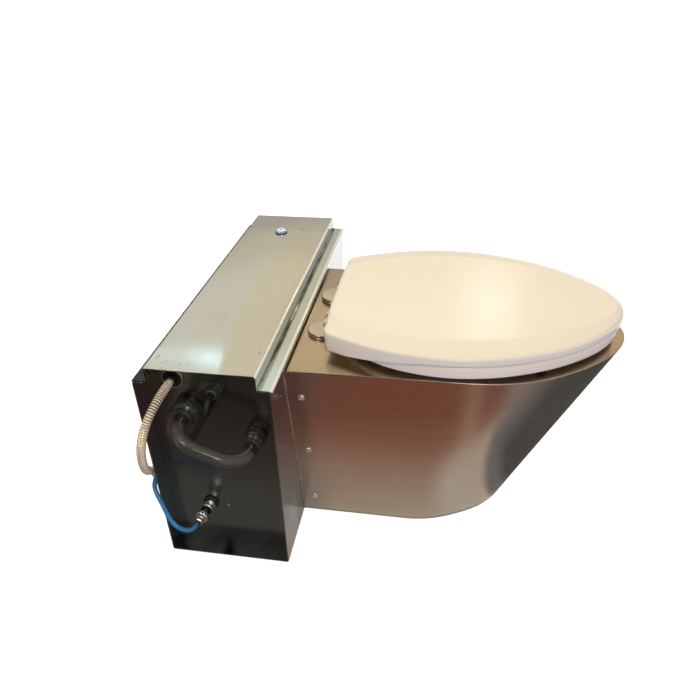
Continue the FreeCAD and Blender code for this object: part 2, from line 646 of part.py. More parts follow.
def bowl_solid(g):
    ws = [ellipse(a + g, c + g + 0.02, y, z) for a, c, y, z in SECT]
    s = Part.makeLoft(ws, True, False)
    tail = Part.Face(ellipse(SECT[-1][0] + g, SECT[-1][1] + g + 0.02, TY, 128)).extrude(V(0, 0, -2))
    return s.fuse(tail)


bowl_out, bowl_in = bowl_solid(1.6), bowl_solid(0)
# a flat rim under the deck, and the spigot's own flange that is clamped on the valve
rim = Part.Face(ellipse(BA + 15, BB + 15, BY, top_z - 2)).extrude(V(0, 0, 2))
bowl = bowl_out.fuse(rim).fuse(cyl(TR + 14, 2, (cx, TY, 126))).cut(bowl_in)
# rinse nozzles through the bowl wall, below the rim
nozzles, ports = [], []
for ang in (90, 210, 330):
    a = math.radians(ang)
    rad = V(math.cos(a), math.sin(a), 0)
    px, py = cx + (BA - 3) * rad.x, BY + (BB - 5) * rad.y
    n = V(rad.x / BA, rad.y / BB, 0)
    n.normalize()
    ax = V(n.x, n.y, 0.0)
    base = V(px, py, 336)
    ports.append(Part.makeCylinder(7.2, 50, base - ax * 22, ax))
    nz = Part.makeCylinder(7, 34, base - ax * 9, ax)
    nz = nz.cut(Part.makeCylinder(3.2, 24, base - ax * 10, ax))
    nozzles.append(nz)
bowl = bowl.cut(ports[0].multiFuse(ports[1:]))
feat("bowl", bowl)
feat("rinse_nozzles", Part.makeCompound(nozzles))

# ---- discharge valve under the bowl -----------------------------------------------
VZ = num(valve_z)
stroke = num(gate_stroke)
vb = box(cx - 52, cx + 52, TY - 125, TY + 48, VZ - 14, VZ + 14)
vb = vb.cut(cyl(TR, 40, (cx, TY, VZ - 20)))
vb = vb.cut(box(cx - 37, cx + 37, TY - 126, TY + 38, VZ - 2.4, VZ + 2.4))
# room for the rod in front of the gate
vb = vb.cut(cyl(6, 80, (cx, TY - 46, VZ), (0, -1, 0)))
feat("valve_body", vb)
gate = box(cx - 36.6, cx + 36.6, TY - 57, TY + 37, VZ - 2, VZ + 2)
feat("valve_gate", gate)
rod = cyl(5, 92, (cx, TY - 57, VZ), (0, -1, 0)).fuse(cyl(16, 12, (cx, TY - 57 - 80, VZ), (0, -1, 0)))
feat("valve_rod", rod.removeSplitter())
cyl_y = TY - 125
vc = box(cx - 26, cx + 26, cyl_y - 10, cyl_y, VZ - 26, VZ + 26).fuse(cyl(20, 94, (cx, cyl_y - 8, VZ), (0, -1, 0)))
vc = vc.cut(cyl(16.06, 82, (cx, cyl_y - 11, VZ), (0, -1, 0))).cut(cyl(5.06, 30, (cx, cyl_y + 5, VZ), (0, -1, 0)))
feat("valve_cylinder", vc.removeSplitter())
turned("throat_seal", [(throat_r + 0.1, 14), (throat_r + 14, 14), (throat_r + 14, 16), (throat_r + 0.1, 16)],
       (pan_x, throat_y, valve_z))

# waste pipe: down from the valve, one bend, straight back through the cabinet
WZ, WR = num(waste_z), num(waste_r)
bend = 46.0
q0, q1 = V(cx, TY, VZ - 14), V(cx, TY, WZ + bend)
q3 = V(cx, TY + bend, WZ)
q2 = V(cx, TY + bend - bend * math.sqrt(0.5), WZ + bend - bend * math.sqrt(0.5))
q4 = V(cx, num(waste_out), WZ)
w = Part.Wire([Part.LineSegment(q0, q1).toShape(), Part.Arc(q1, q2, q3).toShape(), Part.LineSegment(q3, q4).toShape()])
pipe = tube(w, WR, q0, V(0, 0, -1))
# a bead behind the rear grommet leaves a plain spigot for the coupling
pipe = pipe.fuse(cyl(WR + 3, 3, (cx, num(cab_dep) + 4, WZ), (0, 1, 0)))
pipe = pipe.cut(tube(w, WR - 2, q0, V(0, 0, -1))).removeSplitter()
feat("waste_pipe", pipe)
grommets = []
for y0, y1 in ((-4, 6), (num(cab_dep) - 6, num(cab_dep) + 4)):
    g = cyl(WR + 9, y1 - y0, (cx, y0, WZ), (0, 1, 0)).cut(cyl(WR, y1 - y0, (cx, y0, WZ), (0, 1, 0)))
    ya = 0 if y0 < 0 else num(cab_dep) - T
    ring = cyl(WR + 20, T, (cx, ya, WZ), (0, 1, 0)).cut(cyl(WR + 4, T, (cx, ya, WZ), (0, 1, 0)))
    grommets.append(g.cut(ring))
feat("pipe_grommets", Part.makeCompound(grommets))


# ---- seat, lid and hinges -----------------------------------------------------------
def closed(half, z):
    """A smooth closed outline from its half widths, front to rear symmetric in x."""
    full = [V(cx + x, y, z) for x, y in half] + [V(cx - x, y, z) for x, y in reversed(half[1:-1])]
    sp = Part.BSplineCurve()
    sp.interpolate(Points=full, PeriodicFlag=True)
    return Part.Wire([sp.toShape()])


LID = [(0, -55), (50, -55), (100, -55.1), (124, -55.6), (136, -57.8), (143.5, -63), (149, -72), (157.5, -90), (170, -121), (180.5, -152),
       (189.5, -190), (194.5, -235), (194, -275), (188.5, -312), (178, -350), (164, -388), (146, -424), (124, -457), (99.5, -485), (71, -510),
       (37, -528.5), (0, -535)]
CROWN = [(0, -57), (34, -57), (62, -57.2), (78, -58), (88, -61.5), (96, -70), (106.5, -87), (123, -121), (135.5, -156),
         (145, -198), (150, -240), (150, -280), (146, -314), (138, -350), (126, -385), (110, -420), (92, -451), (72, -478), (50, -501), (26, -517), (13, -521.5), (0, -523)]
SEAT = [(0, -76), (60, -76.5), (92, -80), (116, -91), (138, -108.5), (157, -130), (171, -155), (182.5, -189), (189, -222), (191.5, -252),
        (189, -290), (182.5, -325), (171.5, -360), (156.5, -395), (137, -430), (114, -462), (87, -491), (56, -514), (28, -526.5), (0, -530.5)]
HOLE = [(0, -150), (42, -153), (77, -168), (100, -200), (110, -245), (110, -292), (103, -338), (88, -382), (64, -418), (33, -440), (0, -447)]

slo, shi = num(seat_lo), num(seat_hi)
HY, HZ = num(hinge_y), num(hinge_z)
hx = [cx - num(hinge_gap), cx + num(hinge_gap)]

seat = Part.Face(closed(SEAT, slo)).extrude(V(0, 0, shi - slo))
seat = seat.cut(Part.Face(closed(HOLE, slo - 1)).extrude(V(0, 0, shi - slo + 2)))
top_edges = [e for e in seat.Edges if abs(e.BoundBox.ZMin - shi) < 1e-3 and abs(e.BoundBox.ZMax - shi) < 1e-3]
low_edges = [e for e in seat.Edges if abs(e.BoundBox.ZMin - slo) < 1e-3 and abs(e.BoundBox.ZMax - slo) < 1e-3]
seat = seat.makeFillet(8, top_edges)
low_edges = [e for e in seat.Edges if abs(e.BoundBox.ZMin - slo) < 1e-3 and abs(e.BoundBox.ZMax - slo) < 1e-3]
seat = seat.makeFillet(4, low_edges)
for i, s in ((0, 1), (1, -1)):
    x0 = hx[i] + s * 8.6
    x1 = hx[i] + s * 18.6
    a, c = min(x0, x1), max(x0, x1)
    ear = box(a, c, HY - 40, HY, HZ - 8, HZ + 4).fuse(Part.makeCylinder(8, c - a, V(a, HY, HZ), V(1, 0, 0)))
    seat = seat.fuse(ear)
    seat = seat.cut(Part.makeCylinder(num(pin_r) + 0.06, c - a + 2, V(a - 1, HY, HZ), V(1, 0, 0)))
feat("seat_ring", seat.removeSplitter())

llo, lri, lto = num(lid_lo), num(lid_rim), num(lid_top)
lid = Part.makeLoft([closed(LID, llo), closed(LID, lri), closed(CROWN, lto)], True, True)


def shrink(half, t):
    res = []
    for i, p in enumerate(half):
        a = half[i - 1] if i else (-half[1][0], half[1][1])
        c = half[i + 1] if i + 1 < len(half) else (-half[i - 1][0], half[i - 1][1])
        tx, ty = c[0] - a[0], c[1] - a[1]
        m = math.hypot(tx, ty)
        res.append((max(0.0, p[0] + ty / m * t), p[1] - tx / m * t))
    return res


# side skirts of the lid, deep at the rear and running out towards the middle
skirt = Part.Face(closed(LID, 384)).extrude(V(0, 0, llo - 384))
skirt = skirt.cut(Part.Face(closed(shrink(LID, 5), 383)).extrude(V(0, 0, 30)))
wedge = Part.Face(Part.makePolygon([V(0, -60, llo), V(0, -60, 388), (V(0, -66, 384)), V(0, -90, 384), V(0, -225, llo), V(0, -60, llo)])).extrude(V(800, 0, 0))
skirt = skirt.common(wedge).cut(box(cx - 126, cx + 126, -80, -40, 380, llo + 1))
lid = lid.fuse(skirt)
for i, s in ((0, -1), (1, 1)):
    x0 = hx[i] + s * 8.6
    x1 = hx[i] + s * 18.6
    a, c = min(x0, x1), max(x0, x1)
    ear = box(a, c, HY - 14, HY, HZ, llo + 0.5).fuse(Part.makeCylinder(8, c - a, V(a, HY, HZ), V(1, 0, 0)))
    lid = lid.fuse(ear)
    lid = lid.cut(Part.makeCylinder(num(pin_r) + 0.06, c - a + 2, V(a - 1, HY, HZ), V(1, 0, 0)))
feat("seat_lid", lid.removeSplitter())

feat("seat_bumpers", Part.makeCompound([cyl(7, slo - num(deck_h) - 0.3, (cx + s * x, y, num(deck_h) + 0.3)) for s in (-1, 1) for x, y in ((140, -168), (134, -400))]))
feat("lid_bumpers", Part.makeCompound([cyl(6, llo - shi - 0.3, (cx + s * x, y, shi + 0.3)) for s in (-1, 1) for x, y in ((148, -215), (96, -440))]))

DH = num(deck_h)
discs, posts, pins, nuts = [], [], [], []
for x in hx:
    yc = HY + 10
    dsc = cyl(disc_r, disc_t, (x, yc, DH))
    dsc = dsc.makeFillet(1.5, [e for e in dsc.Edges if e.Closed and abs(e.BoundBox.ZMin - DH - num(disc_t)) < 1e-6])
    discs.append(dsc.fuse(cyl(4, 34, (x, yc, DH - 34))).removeSplitter())
    zb = DH + num(disc_t)
    post = box(x - 8, x + 8, HY - 8, HY + 8, zb, HZ).fuse(Part.makeCylinder(8, 16, V(x - 8, HY, HZ), V(1, 0, 0)))
    posts.append(post.cut(Part.makeCylinder(num(pin_r), 20, V(x - 10, HY, HZ), V(1, 0, 0))).removeSplitter())
    pin = Part.makeCylinder(num(pin_r), 39, V(x - 19.5, HY, HZ), V(1, 0, 0))
    for e in (x - 21.5, x + 19.5):
        pin = pin.fuse(Part.makeCylinder(6, 2, V(e, HY, HZ), V(1, 0, 0)))
    pins.append(pin.removeSplitter())
    washer = cyl(11, 2, (x, yc, DH - T - 2)).cut(cyl(4.05, 2, (x, yc, DH - T - 2)))
    nut = hexbar(7.5, 6.5, (x, yc, DH - T - 8.5), (0, 0, 1)).cut(cyl(4.05, 6.5, (x, yc, DH - T - 8.5)))
    nuts.append(washer)
    nuts.append(nut)
feat("hinge_discs", Part.makeCompound(discs))
feat("hinge_posts", Part.makeCompound(posts))
feat("hinge_pins", Part.makeCompound(pins))
feat("hinge_nuts", Part.makeCompound(nuts))

# ---- inside the cabinet ---------------------------------------------------------------
tank = Part.makeCylinder(58, 290, V(140, 106, 205), V(1, 0, 0))
tank = tank.makeFillet(22, [e for e in tank.Edges if e.Closed])
core = Part.makeCylinder(56, 286, V(142, 106, 205), V(1, 0, 0))
core = core.makeFillet(20, [e for e in core.Edges if e.Closed])
# drawn steel tank of 2 mm wall, with a pipe port in its near head
tank = tank.cut(core).cut(Part.makeCylinder(6, 10, V(136, 106, 205), V(1, 0, 0)))
feat("booster_tank", tank)
saddles = []
for x in (175, 385):
    s = box(x, x + 16, 66, 146, T, 176)
    saddles.append(s.cut(Part.makeCylinder(58.0, 40, V(x - 10, 106, 205), V(1, 0, 0))))
feat("tank_saddles", Part.makeCompound(saddles))
cu = box(418, 532, 46, 172, T, 92)
cu = cu.makeFillet(5, [e for e in cu.Edges if abs(e.BoundBox.ZLength - (92 - T)) < 1e-6])
feat("control_unit", cu)

# ---- checks and files -------------------------------------------------------------------
doc.recompute()
bad = [o.Label for o in doc.Objects if "Invalid" in o.State or "Error" in o.State]
if bad:
    raise RuntimeError("failed objects: %s" % bad)
box_all = FreeCAD.BoundBox()
cords = {"water_hose", "water_hose_nut", "air_tube", "air_tube_plug", "power_cable", "cable_end_sleeve"}
names = set()
for o in NODES:
    if o.Shape.isNull() or not o.Shape.isValid() or not o.Shape.Solids:
        raise RuntimeError("bad shape " + o.Label)
    if o.Label in names:
        raise RuntimeError("twice " + o.Label)
    names.add(o.Label)
    if o.Label not in cords:
        box_all.add(o.Shape.optimalBoundingBox(True, False))
print("nodes", len(NODES), "box x %.2f %.2f y %.2f %.2f z %.2f %.2f centre %.2f %.2f" % (
    box_all.XMin, box_all.XMax, box_all.YMin, box_all.YMax, box_all.ZMin, box_all.ZMax, box_all.Center.x, box_all.Center.y))
os.makedirs("parts", exist_ok=True)
for o in NODES:
    o.Shape.exportStep("parts/%s.step" % o.Label)
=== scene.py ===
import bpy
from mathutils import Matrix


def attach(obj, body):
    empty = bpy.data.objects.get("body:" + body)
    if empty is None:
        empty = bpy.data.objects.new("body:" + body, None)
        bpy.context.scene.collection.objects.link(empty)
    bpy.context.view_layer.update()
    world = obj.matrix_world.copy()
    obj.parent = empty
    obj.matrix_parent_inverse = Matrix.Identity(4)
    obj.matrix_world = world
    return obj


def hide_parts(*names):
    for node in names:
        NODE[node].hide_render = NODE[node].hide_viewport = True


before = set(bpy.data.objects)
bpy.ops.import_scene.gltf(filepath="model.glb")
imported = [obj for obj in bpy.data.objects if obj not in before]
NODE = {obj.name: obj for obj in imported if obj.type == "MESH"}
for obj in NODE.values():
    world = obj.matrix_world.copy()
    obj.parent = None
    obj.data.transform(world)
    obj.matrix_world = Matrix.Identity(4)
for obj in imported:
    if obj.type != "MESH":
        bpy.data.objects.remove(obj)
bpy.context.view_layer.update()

import bpy
import bmesh
import math
import numpy as np
from mathutils import Matrix, Vector, noise

scene = bpy.context.scene
scene.view_settings.view_transform = "Standard"
scene.view_settings.look = "None"

# Lengths are written in millimetres from the cabinet's near lower front corner,
# and mm() moves them into the shared frame, in metres.
OX, OY = -286.0, 150.0
PAN = 258.3
TAU = 2 * math.pi


def mm(x, y, z):
    return Vector(((x + OX) / 1000, (y + OY) / 1000, z / 1000))


# ---------------------------------------------------------------------------
# camera
# ---------------------------------------------------------------------------
YAW, PITCH, ROLL = 0.17202, 0.57333, 0.02496
fwd = Vector((math.cos(PITCH) * math.cos(YAW), math.cos(PITCH) * math.sin(YAW), -math.sin(PITCH)))
r0 = fwd.cross(Vector((0, 0, 1))).normalized()
d0 = fwd.cross(r0)
right = math.cos(ROLL) * r0 + math.sin(ROLL) * d0
down = -math.sin(ROLL) * r0 + math.cos(ROLL) * d0
cam = bpy.data.objects.new("camera", bpy.data.cameras.new("camera"))
scene.collection.objects.link(cam)
cam.matrix_world = Matrix.Translation(mm(-727.88, -246.88, 939.25)) @ Matrix((right, -down, -fwd)).transposed().to_4x4()
cam.data.sensor_fit = "HORIZONTAL"
cam.data.sensor_width = 36
cam.data.lens = 640.941 * 36 / 700
cam.data.clip_start = 0.01
cam.data.clip_end = 100
scene.camera = cam


# ---------------------------------------------------------------------------
# small mesh kit
# ---------------------------------------------------------------------------
def link(name, data):
    o = bpy.data.objects.new(name, data)
    scene.collection.objects.link(o)
    return o


def mesh_object(name, verts, faces, sharp=40, smooth=True):
    me = bpy.data.meshes.new(name)
    me.from_pydata([tuple(v) for v in verts], [], faces)
    me.validate()
    bm = bmesh.new()
    bm.from_mesh(me)
    bmesh.ops.remove_doubles(bm, verts=bm.verts, dist=1e-7)
    bmesh.ops.dissolve_degenerate(bm, edges=bm.edges, dist=1e-7)
    bmesh.ops.recalc_face_normals(bm, faces=bm.faces)
    bm.to_mesh(me)
    bm.free()
    for p in me.polygons:
        p.use_smooth = smooth
    if smooth and sharp:
        me.set_sharp_from_angle(angle=math.radians(sharp))
    return link(name, me)


def bake(obj, sharp=40):
    """Put the modifiers' result into the mesh itself."""
    dg = bpy.context.evaluated_depsgraph_get()
    me = bpy.data.meshes.new_from_object(obj.evaluated_get(dg))
    old = obj.data
    obj.modifiers.clear()
    obj.data = me
    bpy.data.meshes.remove(old)
    for p in me.polygons:
        p.use_smooth = True
    if sharp:
        me.set_sharp_from_angle(angle=math.radians(sharp))
    return obj


def bevel(obj, width, segments=2, angle=40, harden=True):
    b = obj.modifiers.new("edge", "BEVEL")
    b.width = width
    b.segments = segments
    b.limit_method = "ANGLE"
    b.angle_limit = math.radians(angle)
    b.use_clamp_overlap = True
    b.harden_normals = harden
    return obj


def join(name, objs):
    """One object from several meshes."""
    bm = bmesh.new()
    for o in objs:
        tmp = o.data
        bm.from_mesh(tmp)
    me = bpy.data.meshes.new(name)
    bm.to_mesh(me)
    bm.free()
    for o in objs:
        d = o.data
        bpy.data.objects.remove(o)
        bpy.data.meshes.remove(d)
    return link(name, me)


def cubic(ts, ps, closed=False, d0=None, d1=None):
    """Interpolating cubic through points; returns a function of t."""
    ts, ps = np.asarray(ts, float), np.asarray(ps, float)
    n = len(ts)
    h = np.diff(ts)
    A = np.zeros((n, n))
    B = np.zeros((n, ps.shape[1]))
    for i in range(1, n - 1):
        A[i, i - 1], A[i, i], A[i, i + 1] = h[i - 1], 2 * (h[i - 1] + h[i]), h[i]
        B[i] = 6 * ((ps[i + 1] - ps[i]) / h[i] - (ps[i] - ps[i - 1]) / h[i - 1])
    if closed:
        A[0, 0], A[0, -1] = 1, -1
        A[-1, 0], A[-1, 1], A[-1, -2], A[-1, -1] = 2 * h[0], h[0], h[-1], 2 * h[-1]
        B[-1] = 6 * ((ps[1] - ps[0]) / h[0] - (ps[-1] - ps[-2]) / h[-1])
    else:
        if d0 is None:
            A[0, 0] = 1
        else:
            A[0, 0], A[0, 1] = 2 * h[0], h[0]
            B[0] = 6 * ((ps[1] - ps[0]) / h[0] - np.asarray(d0, float))
        if d1 is None:
            A[-1, -1] = 1
        else:
            A[-1, -1], A[-1, -2] = 2 * h[-1], h[-1]
            B[-1] = 6 * (np.asarray(d1, float) - (ps[-1] - ps[-2]) / h[-1])
    M = np.linalg.solve(A, B)

    def f(t):
        i = int(min(max(np.searchsorted(ts, t) - 1, 0), n - 2))
        a, b = (ts[i + 1] - t) / h[i], (t - ts[i]) / h[i]
        return a * ps[i] + b * ps[i + 1] + ((a ** 3 - a) * M[i] + (b ** 3 - b) * M[i + 1]) * h[i] ** 2 / 6

    return f


def chords(ps):
    t = [0.0]
    for a, b in zip(ps, ps[1:]):
        t.append(t[-1] + math.dist(a, b))
    return t


def loop_from_half(half, n):
    """A closed outline, even in arc length, from one half given as (half width, y); starts at the rear middle."""
    full = [(x, y) for x, y in half] + [(-x, y) for x, y in reversed(half[:-1])]
    f = cubic(chords(full), full, closed=True)
    T = chords(full)[-1]
    dense = [f(T * i / 2000) for i in range(2001)]
    s = chords([tuple(p) for p in dense])
    res, k = [], 0
    for i in range(n):
        want = s[-1] * i / n
        while s[k + 1] < want:
            k += 1
        u = (want - s[k]) / (s[k + 1] - s[k])
        res.append(dense[k] * (1 - u) + dense[k + 1] * u)
    return np.array(res)


def inward(loop, dist):
    """The closed outline moved inwards by a distance, one or one per point."""
    nxt, prv = np.roll(loop, -1, 0), np.roll(loop, 1, 0)
    t = nxt - prv
    t /= np.linalg.norm(t, axis=1)[:, None]
    nrm = np.stack([t[:, 1], -t[:, 0]], 1)
    c = loop.mean(0)
    if np.sum(nrm * (c - loop)) < 0:
        nrm = -nrm
    return loop + nrm * np.asarray(dist).reshape(-1, 1)


def rings_object(name, rings, close=False, cap0=True, cap1=True, sharp=40):
    """Skin a list of equal closed rings of points."""
    n = len(rings[0])
    verts = [v for r in rings for v in r]
    faces = []
    m = len(rings)
    for k in range(m if close else m - 1):
        a, b = k * n, ((k + 1) % m) * n
        for i in range(n):
            j = (i + 1) % n
            faces.append((a + i, a + j, b + j, b + i))
    if not close:
        if cap0:
            faces.append(tuple(reversed(range(n))))
        if cap1:
            faces.append(tuple(range((m - 1) * n, m * n)))
    return mesh_object(name, verts, faces, sharp)


def frames_along(pts):
    """Points with two cross directions that turn as little as they can."""
    pts = [Vector(p) for p in pts]
    tang = []
    for i in range(len(pts)):
        a, b = pts[max(0, i - 1)], pts[min(len(pts) - 1, i + 1)]
        tang.append((b - a).normalized())
    u = tang[0].orthogonal().normalized()
    out = []
    for i, (p, t) in enumerate(zip(pts, tang)):
        if i:
            q = tang[i - 1].rotation_difference(t)
            u = q @ u
        u = (u - t * u.dot(t)).normalized()
        out.append((p, t, u, t.cross(u)))
    return out


def tube(name, pts, radii, seg=24, sharp=60):
    rings = []
    for (p, t, u, v), r in zip(frames_along(pts), radii):
        rings.append([p + (u * math.cos(TAU * i / seg) + v * math.sin(TAU * i / seg)) * r for i in range(seg)])
    return rings_object(name, rings, sharp=sharp)


def resample(pts, step):
    pts = [Vector(p) for p in pts]
    s = [0.0]
    for a, b in zip(pts, pts[1:]):
        s.append(s[-1] + (b - a).length)
    n = max(2, int(round(s[-1] / step)))
    out, k = [], 0
    for i in range(n + 1):
        want = min(s[-1] * i / n, s[-1] - 1e-12)
        while k < len(s) - 2 and s[k + 1] < want:
            k += 1
        f = (want - s[k]) / max(1e-12, s[k + 1] - s[k])
        out.append(pts[k].lerp(pts[k + 1], f))
    return out


def profile_radius(kind, r, th):
    """Radius of a ring: round, a hexagon with worn corners, or a ribbed grip."""
    if kind == "hex":
        a = (th + math.pi / 6) % (math.pi / 3) - math.pi / 6
        return min(r * math.cos(math.pi / 6) / math.cos(a), r * 0.975)
    if kind == "oct":
        a = (th + math.pi / 8) % (math.pi / 4) - math.pi / 8
        return min(r * math.cos(math.pi / 8) / math.cos(a), r * 0.988)
    if kind == "rib":
        return r * (1 - 0.045 * (0.5 + 0.5 * math.cos(14 * th)) ** 3)
    if kind == "knurl":
        return r * (1 - 0.018 * (0.5 + 0.5 * math.cos(30 * th)))
    return r


def turned(name, prof, at, axis, seg=72, closed=True, sharp=32, spin=0.0):
    """Revolve (radius, height, kind) points in mm about an axis; a closed profile makes a ring-shaped piece."""
    ax = Vector(axis).normalized()
    q = Vector((0, 0, 1)).rotation_difference(ax)
    rings = []
    for row in prof:
        r, h = row[0], row[1]
        kind = row[2] if len(row) > 2 else ""
        ring = []
        for i in range(seg):
            th = TAU * i / seg + spin
            rr = profile_radius(kind, r, th)
            ring.append(Vector(at) + q @ Vector((rr * math.cos(th) / 1000, rr * math.sin(th) / 1000, h / 1000)))
        rings.append(ring)
    return rings_object(name, rings, close=closed, sharp=sharp)


def folded(name, line, thick, radius, x0, x1, arc=6):
    """Folded sheet: the middle line of its section in (y, z), rounded at each bend, drawn along x."""
    pts, nrm = [], []
    ln = [Vector(p) for p in line]
    for i, p in enumerate(ln):
        if i == 0 or i == len(ln) - 1:
            t = (ln[1] - ln[0]) if i == 0 else (ln[-1] - ln[-2])
            t.normalize()
            pts.append(p)
            nrm.append(Vector((-t.y, t.x)))
            continue
        a, b = (p - ln[i - 1]).normalized(), (ln[i + 1] - p).normalized()
        turn = math.atan2(a.x * b.y - a.y * b.x, a.dot(b))
        back = radius * math.tan(abs(turn) / 2)
        na = Vector((-a.y, a.x))
        c = p - a * back + na * radius * (1 if turn > 0 else -1)
        for k in range(arc + 1):
            ang = turn * k / arc
            base = (-na if turn > 0 else na) * radius
            rot = Vector((base.x * math.cos(ang) - base.y * math.sin(ang), base.x * math.sin(ang) + base.y * math.cos(ang)))
            pts.append(c + rot)
            nn = Vector((na.x * math.cos(ang) - na.y * math.sin(ang), na.x * math.sin(ang) + na.y * math.cos(ang)))
            nrm.append(nn)
    left = [p + n * thick / 2 for p, n in zip(pts, nrm)]
    rgt = [p - n * thick / 2 for p, n in zip(pts, nrm)]
    n = len(pts)
    verts, faces = [], []
    for x in (x0, x1):
        verts += [mm(x, p.x, p.y) for p in left] + [mm(x, p.x, p.y) for p in rgt]
    o = 2 * n
    for i in range(n - 1):
        faces.append((i, i + 1, o + i + 1, o + i))
        faces.append((n + i, o + n + i, o + n + i + 1, n + i + 1))
        faces.append((i, n + i, n + i + 1, i + 1))
        faces.append((o + i, o + i + 1, o + n + i + 1, o + n + i))
    faces.append((0, o, o + n, n))
    faces.append((n - 1, 2 * n - 1, o + 2 * n - 1, o + n - 1))
    return mesh_object(name, verts, faces, sharp=50)


def drill(obj, holes):
    """Cut round holes: (start, direction, radius, depth) in metres."""
    for k, (at, axis, r, depth) in enumerate(holes):
        bm = bmesh.new()
        bmesh.ops.create_cone(bm, cap_ends=True, segments=48, radius1=r, radius2=r, depth=depth)
        me = bpy.data.meshes.new("cutter")
        q = Vector((0, 0, 1)).rotation_difference(Vector(axis))
        bm.transform(Matrix.Translation(Vector(at) + Vector(axis) * depth / 2) @ q.to_matrix().to_4x4())
        bm.to_mesh(me)
        bm.free()
        c = link("cutter", me)
        m = obj.modifiers.new("hole", "BOOLEAN")
        m.operation = "DIFFERENCE"
        m.solver = "EXACT"
        m.object = c
        bpy.context.view_layer.update()
        bake(obj)
        bpy.data.objects.remove(c)
        bpy.data.meshes.remove(me)
    return obj


# ---------------------------------------------------------------------------
# materials
# ---------------------------------------------------------------------------
class Mat:
    def __init__(self, name):
        self.m = bpy.data.materials.new(name)
        self.m.use_nodes = True
        self.t = self.m.node_tree
        self.t.nodes.clear()
        self.out = self.t.nodes.new("ShaderNodeOutputMaterial")
        self.b = self.t.nodes.new("ShaderNodeBsdfPrincipled")
        self.t.links.new(self.b.outputs["BSDF"], self.out.inputs["Surface"])
        self.co = self.t.nodes.new("ShaderNodeTexCoord").outputs["Object"]

    def set(self, **kw):
        for k, v in kw.items():
            s = self.b.inputs[k.replace("_", " ")]
            s.default_value = (*v, 1.0) if isinstance(v, tuple) and len(v) == 3 and s.type == "RGBA" else v
        return self

    def put(self, sock, src):
        self.t.links.new(src, self.b.inputs[sock])
        return self

    def scaled(self, s, rot=(0, 0, 0)):
        n = self.t.nodes.new("ShaderNodeMapping")
        n.inputs["Scale"].default_value = s
        n.inputs["Rotation"].default_value = rot
        self.t.links.new(self.co, n.inputs["Vector"])
        return n.outputs["Vector"]

    def noise(self, scale, detail=3.0, rough=0.55, vec=None, dist=0.0):
        n = self.t.nodes.new("ShaderNodeTexNoise")
        n.inputs["Scale"].default_value = scale
        n.inputs["Detail"].default_value = detail
        n.inputs["Roughness"].default_value = rough
        n.inputs["Distortion"].default_value = dist
        self.t.links.new(vec or self.co, n.inputs["Vector"])
        return n.outputs["Fac"]

    def voronoi(self, scale, vec=None, feature="F1"):
        n = self.t.nodes.new("ShaderNodeTexVoronoi")
        n.feature = feature
        n.inputs["Scale"].default_value = scale
        self.t.links.new(vec or self.co, n.inputs["Vector"])
        return n.outputs["Distance"]

    def range(self, src, a, b, c, d, smooth=False):
        n = self.t.nodes.new("ShaderNodeMapRange")
        n.interpolation_type = "SMOOTHSTEP" if smooth else "LINEAR"
        n.clamp = True
        for k, v in zip(("From Min", "From Max", "To Min", "To Max"), (a, b, c, d)):
            n.inputs[k].default_value = v
        self.t.links.new(src, n.inputs["Value"])
        return n.outputs["Result"]

    def math(self, op, a, b=None):
        n = self.t.nodes.new("ShaderNodeMath")
        n.operation = op
        for i, v in enumerate((a, b)):
            if v is None:
                continue
            if isinstance(v, (int, float)):
                n.inputs[i].default_value = v
            else:
                self.t.links.new(v, n.inputs[i])
        return n.outputs["Value"]

    def mix(self, fac, a, b, blend="MIX"):
        n = self.t.nodes.new("ShaderNodeMix")
        n.data_type = "RGBA"
        n.blend_type = blend
        n.clamp_factor = True
        for sock, v in ((n.inputs["Factor"], fac), (n.inputs["A"], a), (n.inputs["B"], b)):
            pass
        socks = {s.identifier: s for s in n.inputs}
        for sock, v in ((socks["Factor_Float"], fac), (socks["A_Color"], a), (socks["B_Color"], b)):
            if isinstance(v, tuple):
                sock.default_value = (*v, 1.0)
            elif isinstance(v, (int, float)):
                sock.default_value = v
            else:
                self.t.links.new(v, sock)
        return [o for o in n.outputs if o.identifier == "Result_Color"][0]

    def axis(self, k, vec=None):
        n = self.t.nodes.new("ShaderNodeSeparateXYZ")
        self.t.links.new(vec or self.co, n.inputs["Vector"])
        return n.outputs["XYZ"[k]]

    def bump(self, height, strength, dist=0.001):
        n = self.t.nodes.new("ShaderNodeBump")
        n.inputs["Strength"].default_value = strength
        n.inputs["Distance"].default_value = dist
        self.t.links.new(height, n.inputs["Height"])
        self.t.links.new(n.outputs["Normal"], self.b.inputs["Normal"])
        return self

    def edge(self, radius):
        """Mask that is 1 along convex and concave edges."""
        bv = self.t.nodes.new("ShaderNodeBevel")
        bv.samples = 4
        bv.inputs["Radius"].default_value = radius
        ge = self.t.nodes.new("ShaderNodeNewGeometry")
        dt = self.t.nodes.new("ShaderNodeVectorMath")
        dt.operation = "DOT_PRODUCT"
        self.t.links.new(bv.outputs["Normal"], dt.inputs[0])
        self.t.links.new(ge.outputs["Normal"], dt.inputs[1])
        return self.range(dt.outputs["Value"], 0.98, 0.8, 0.0, 1.0)


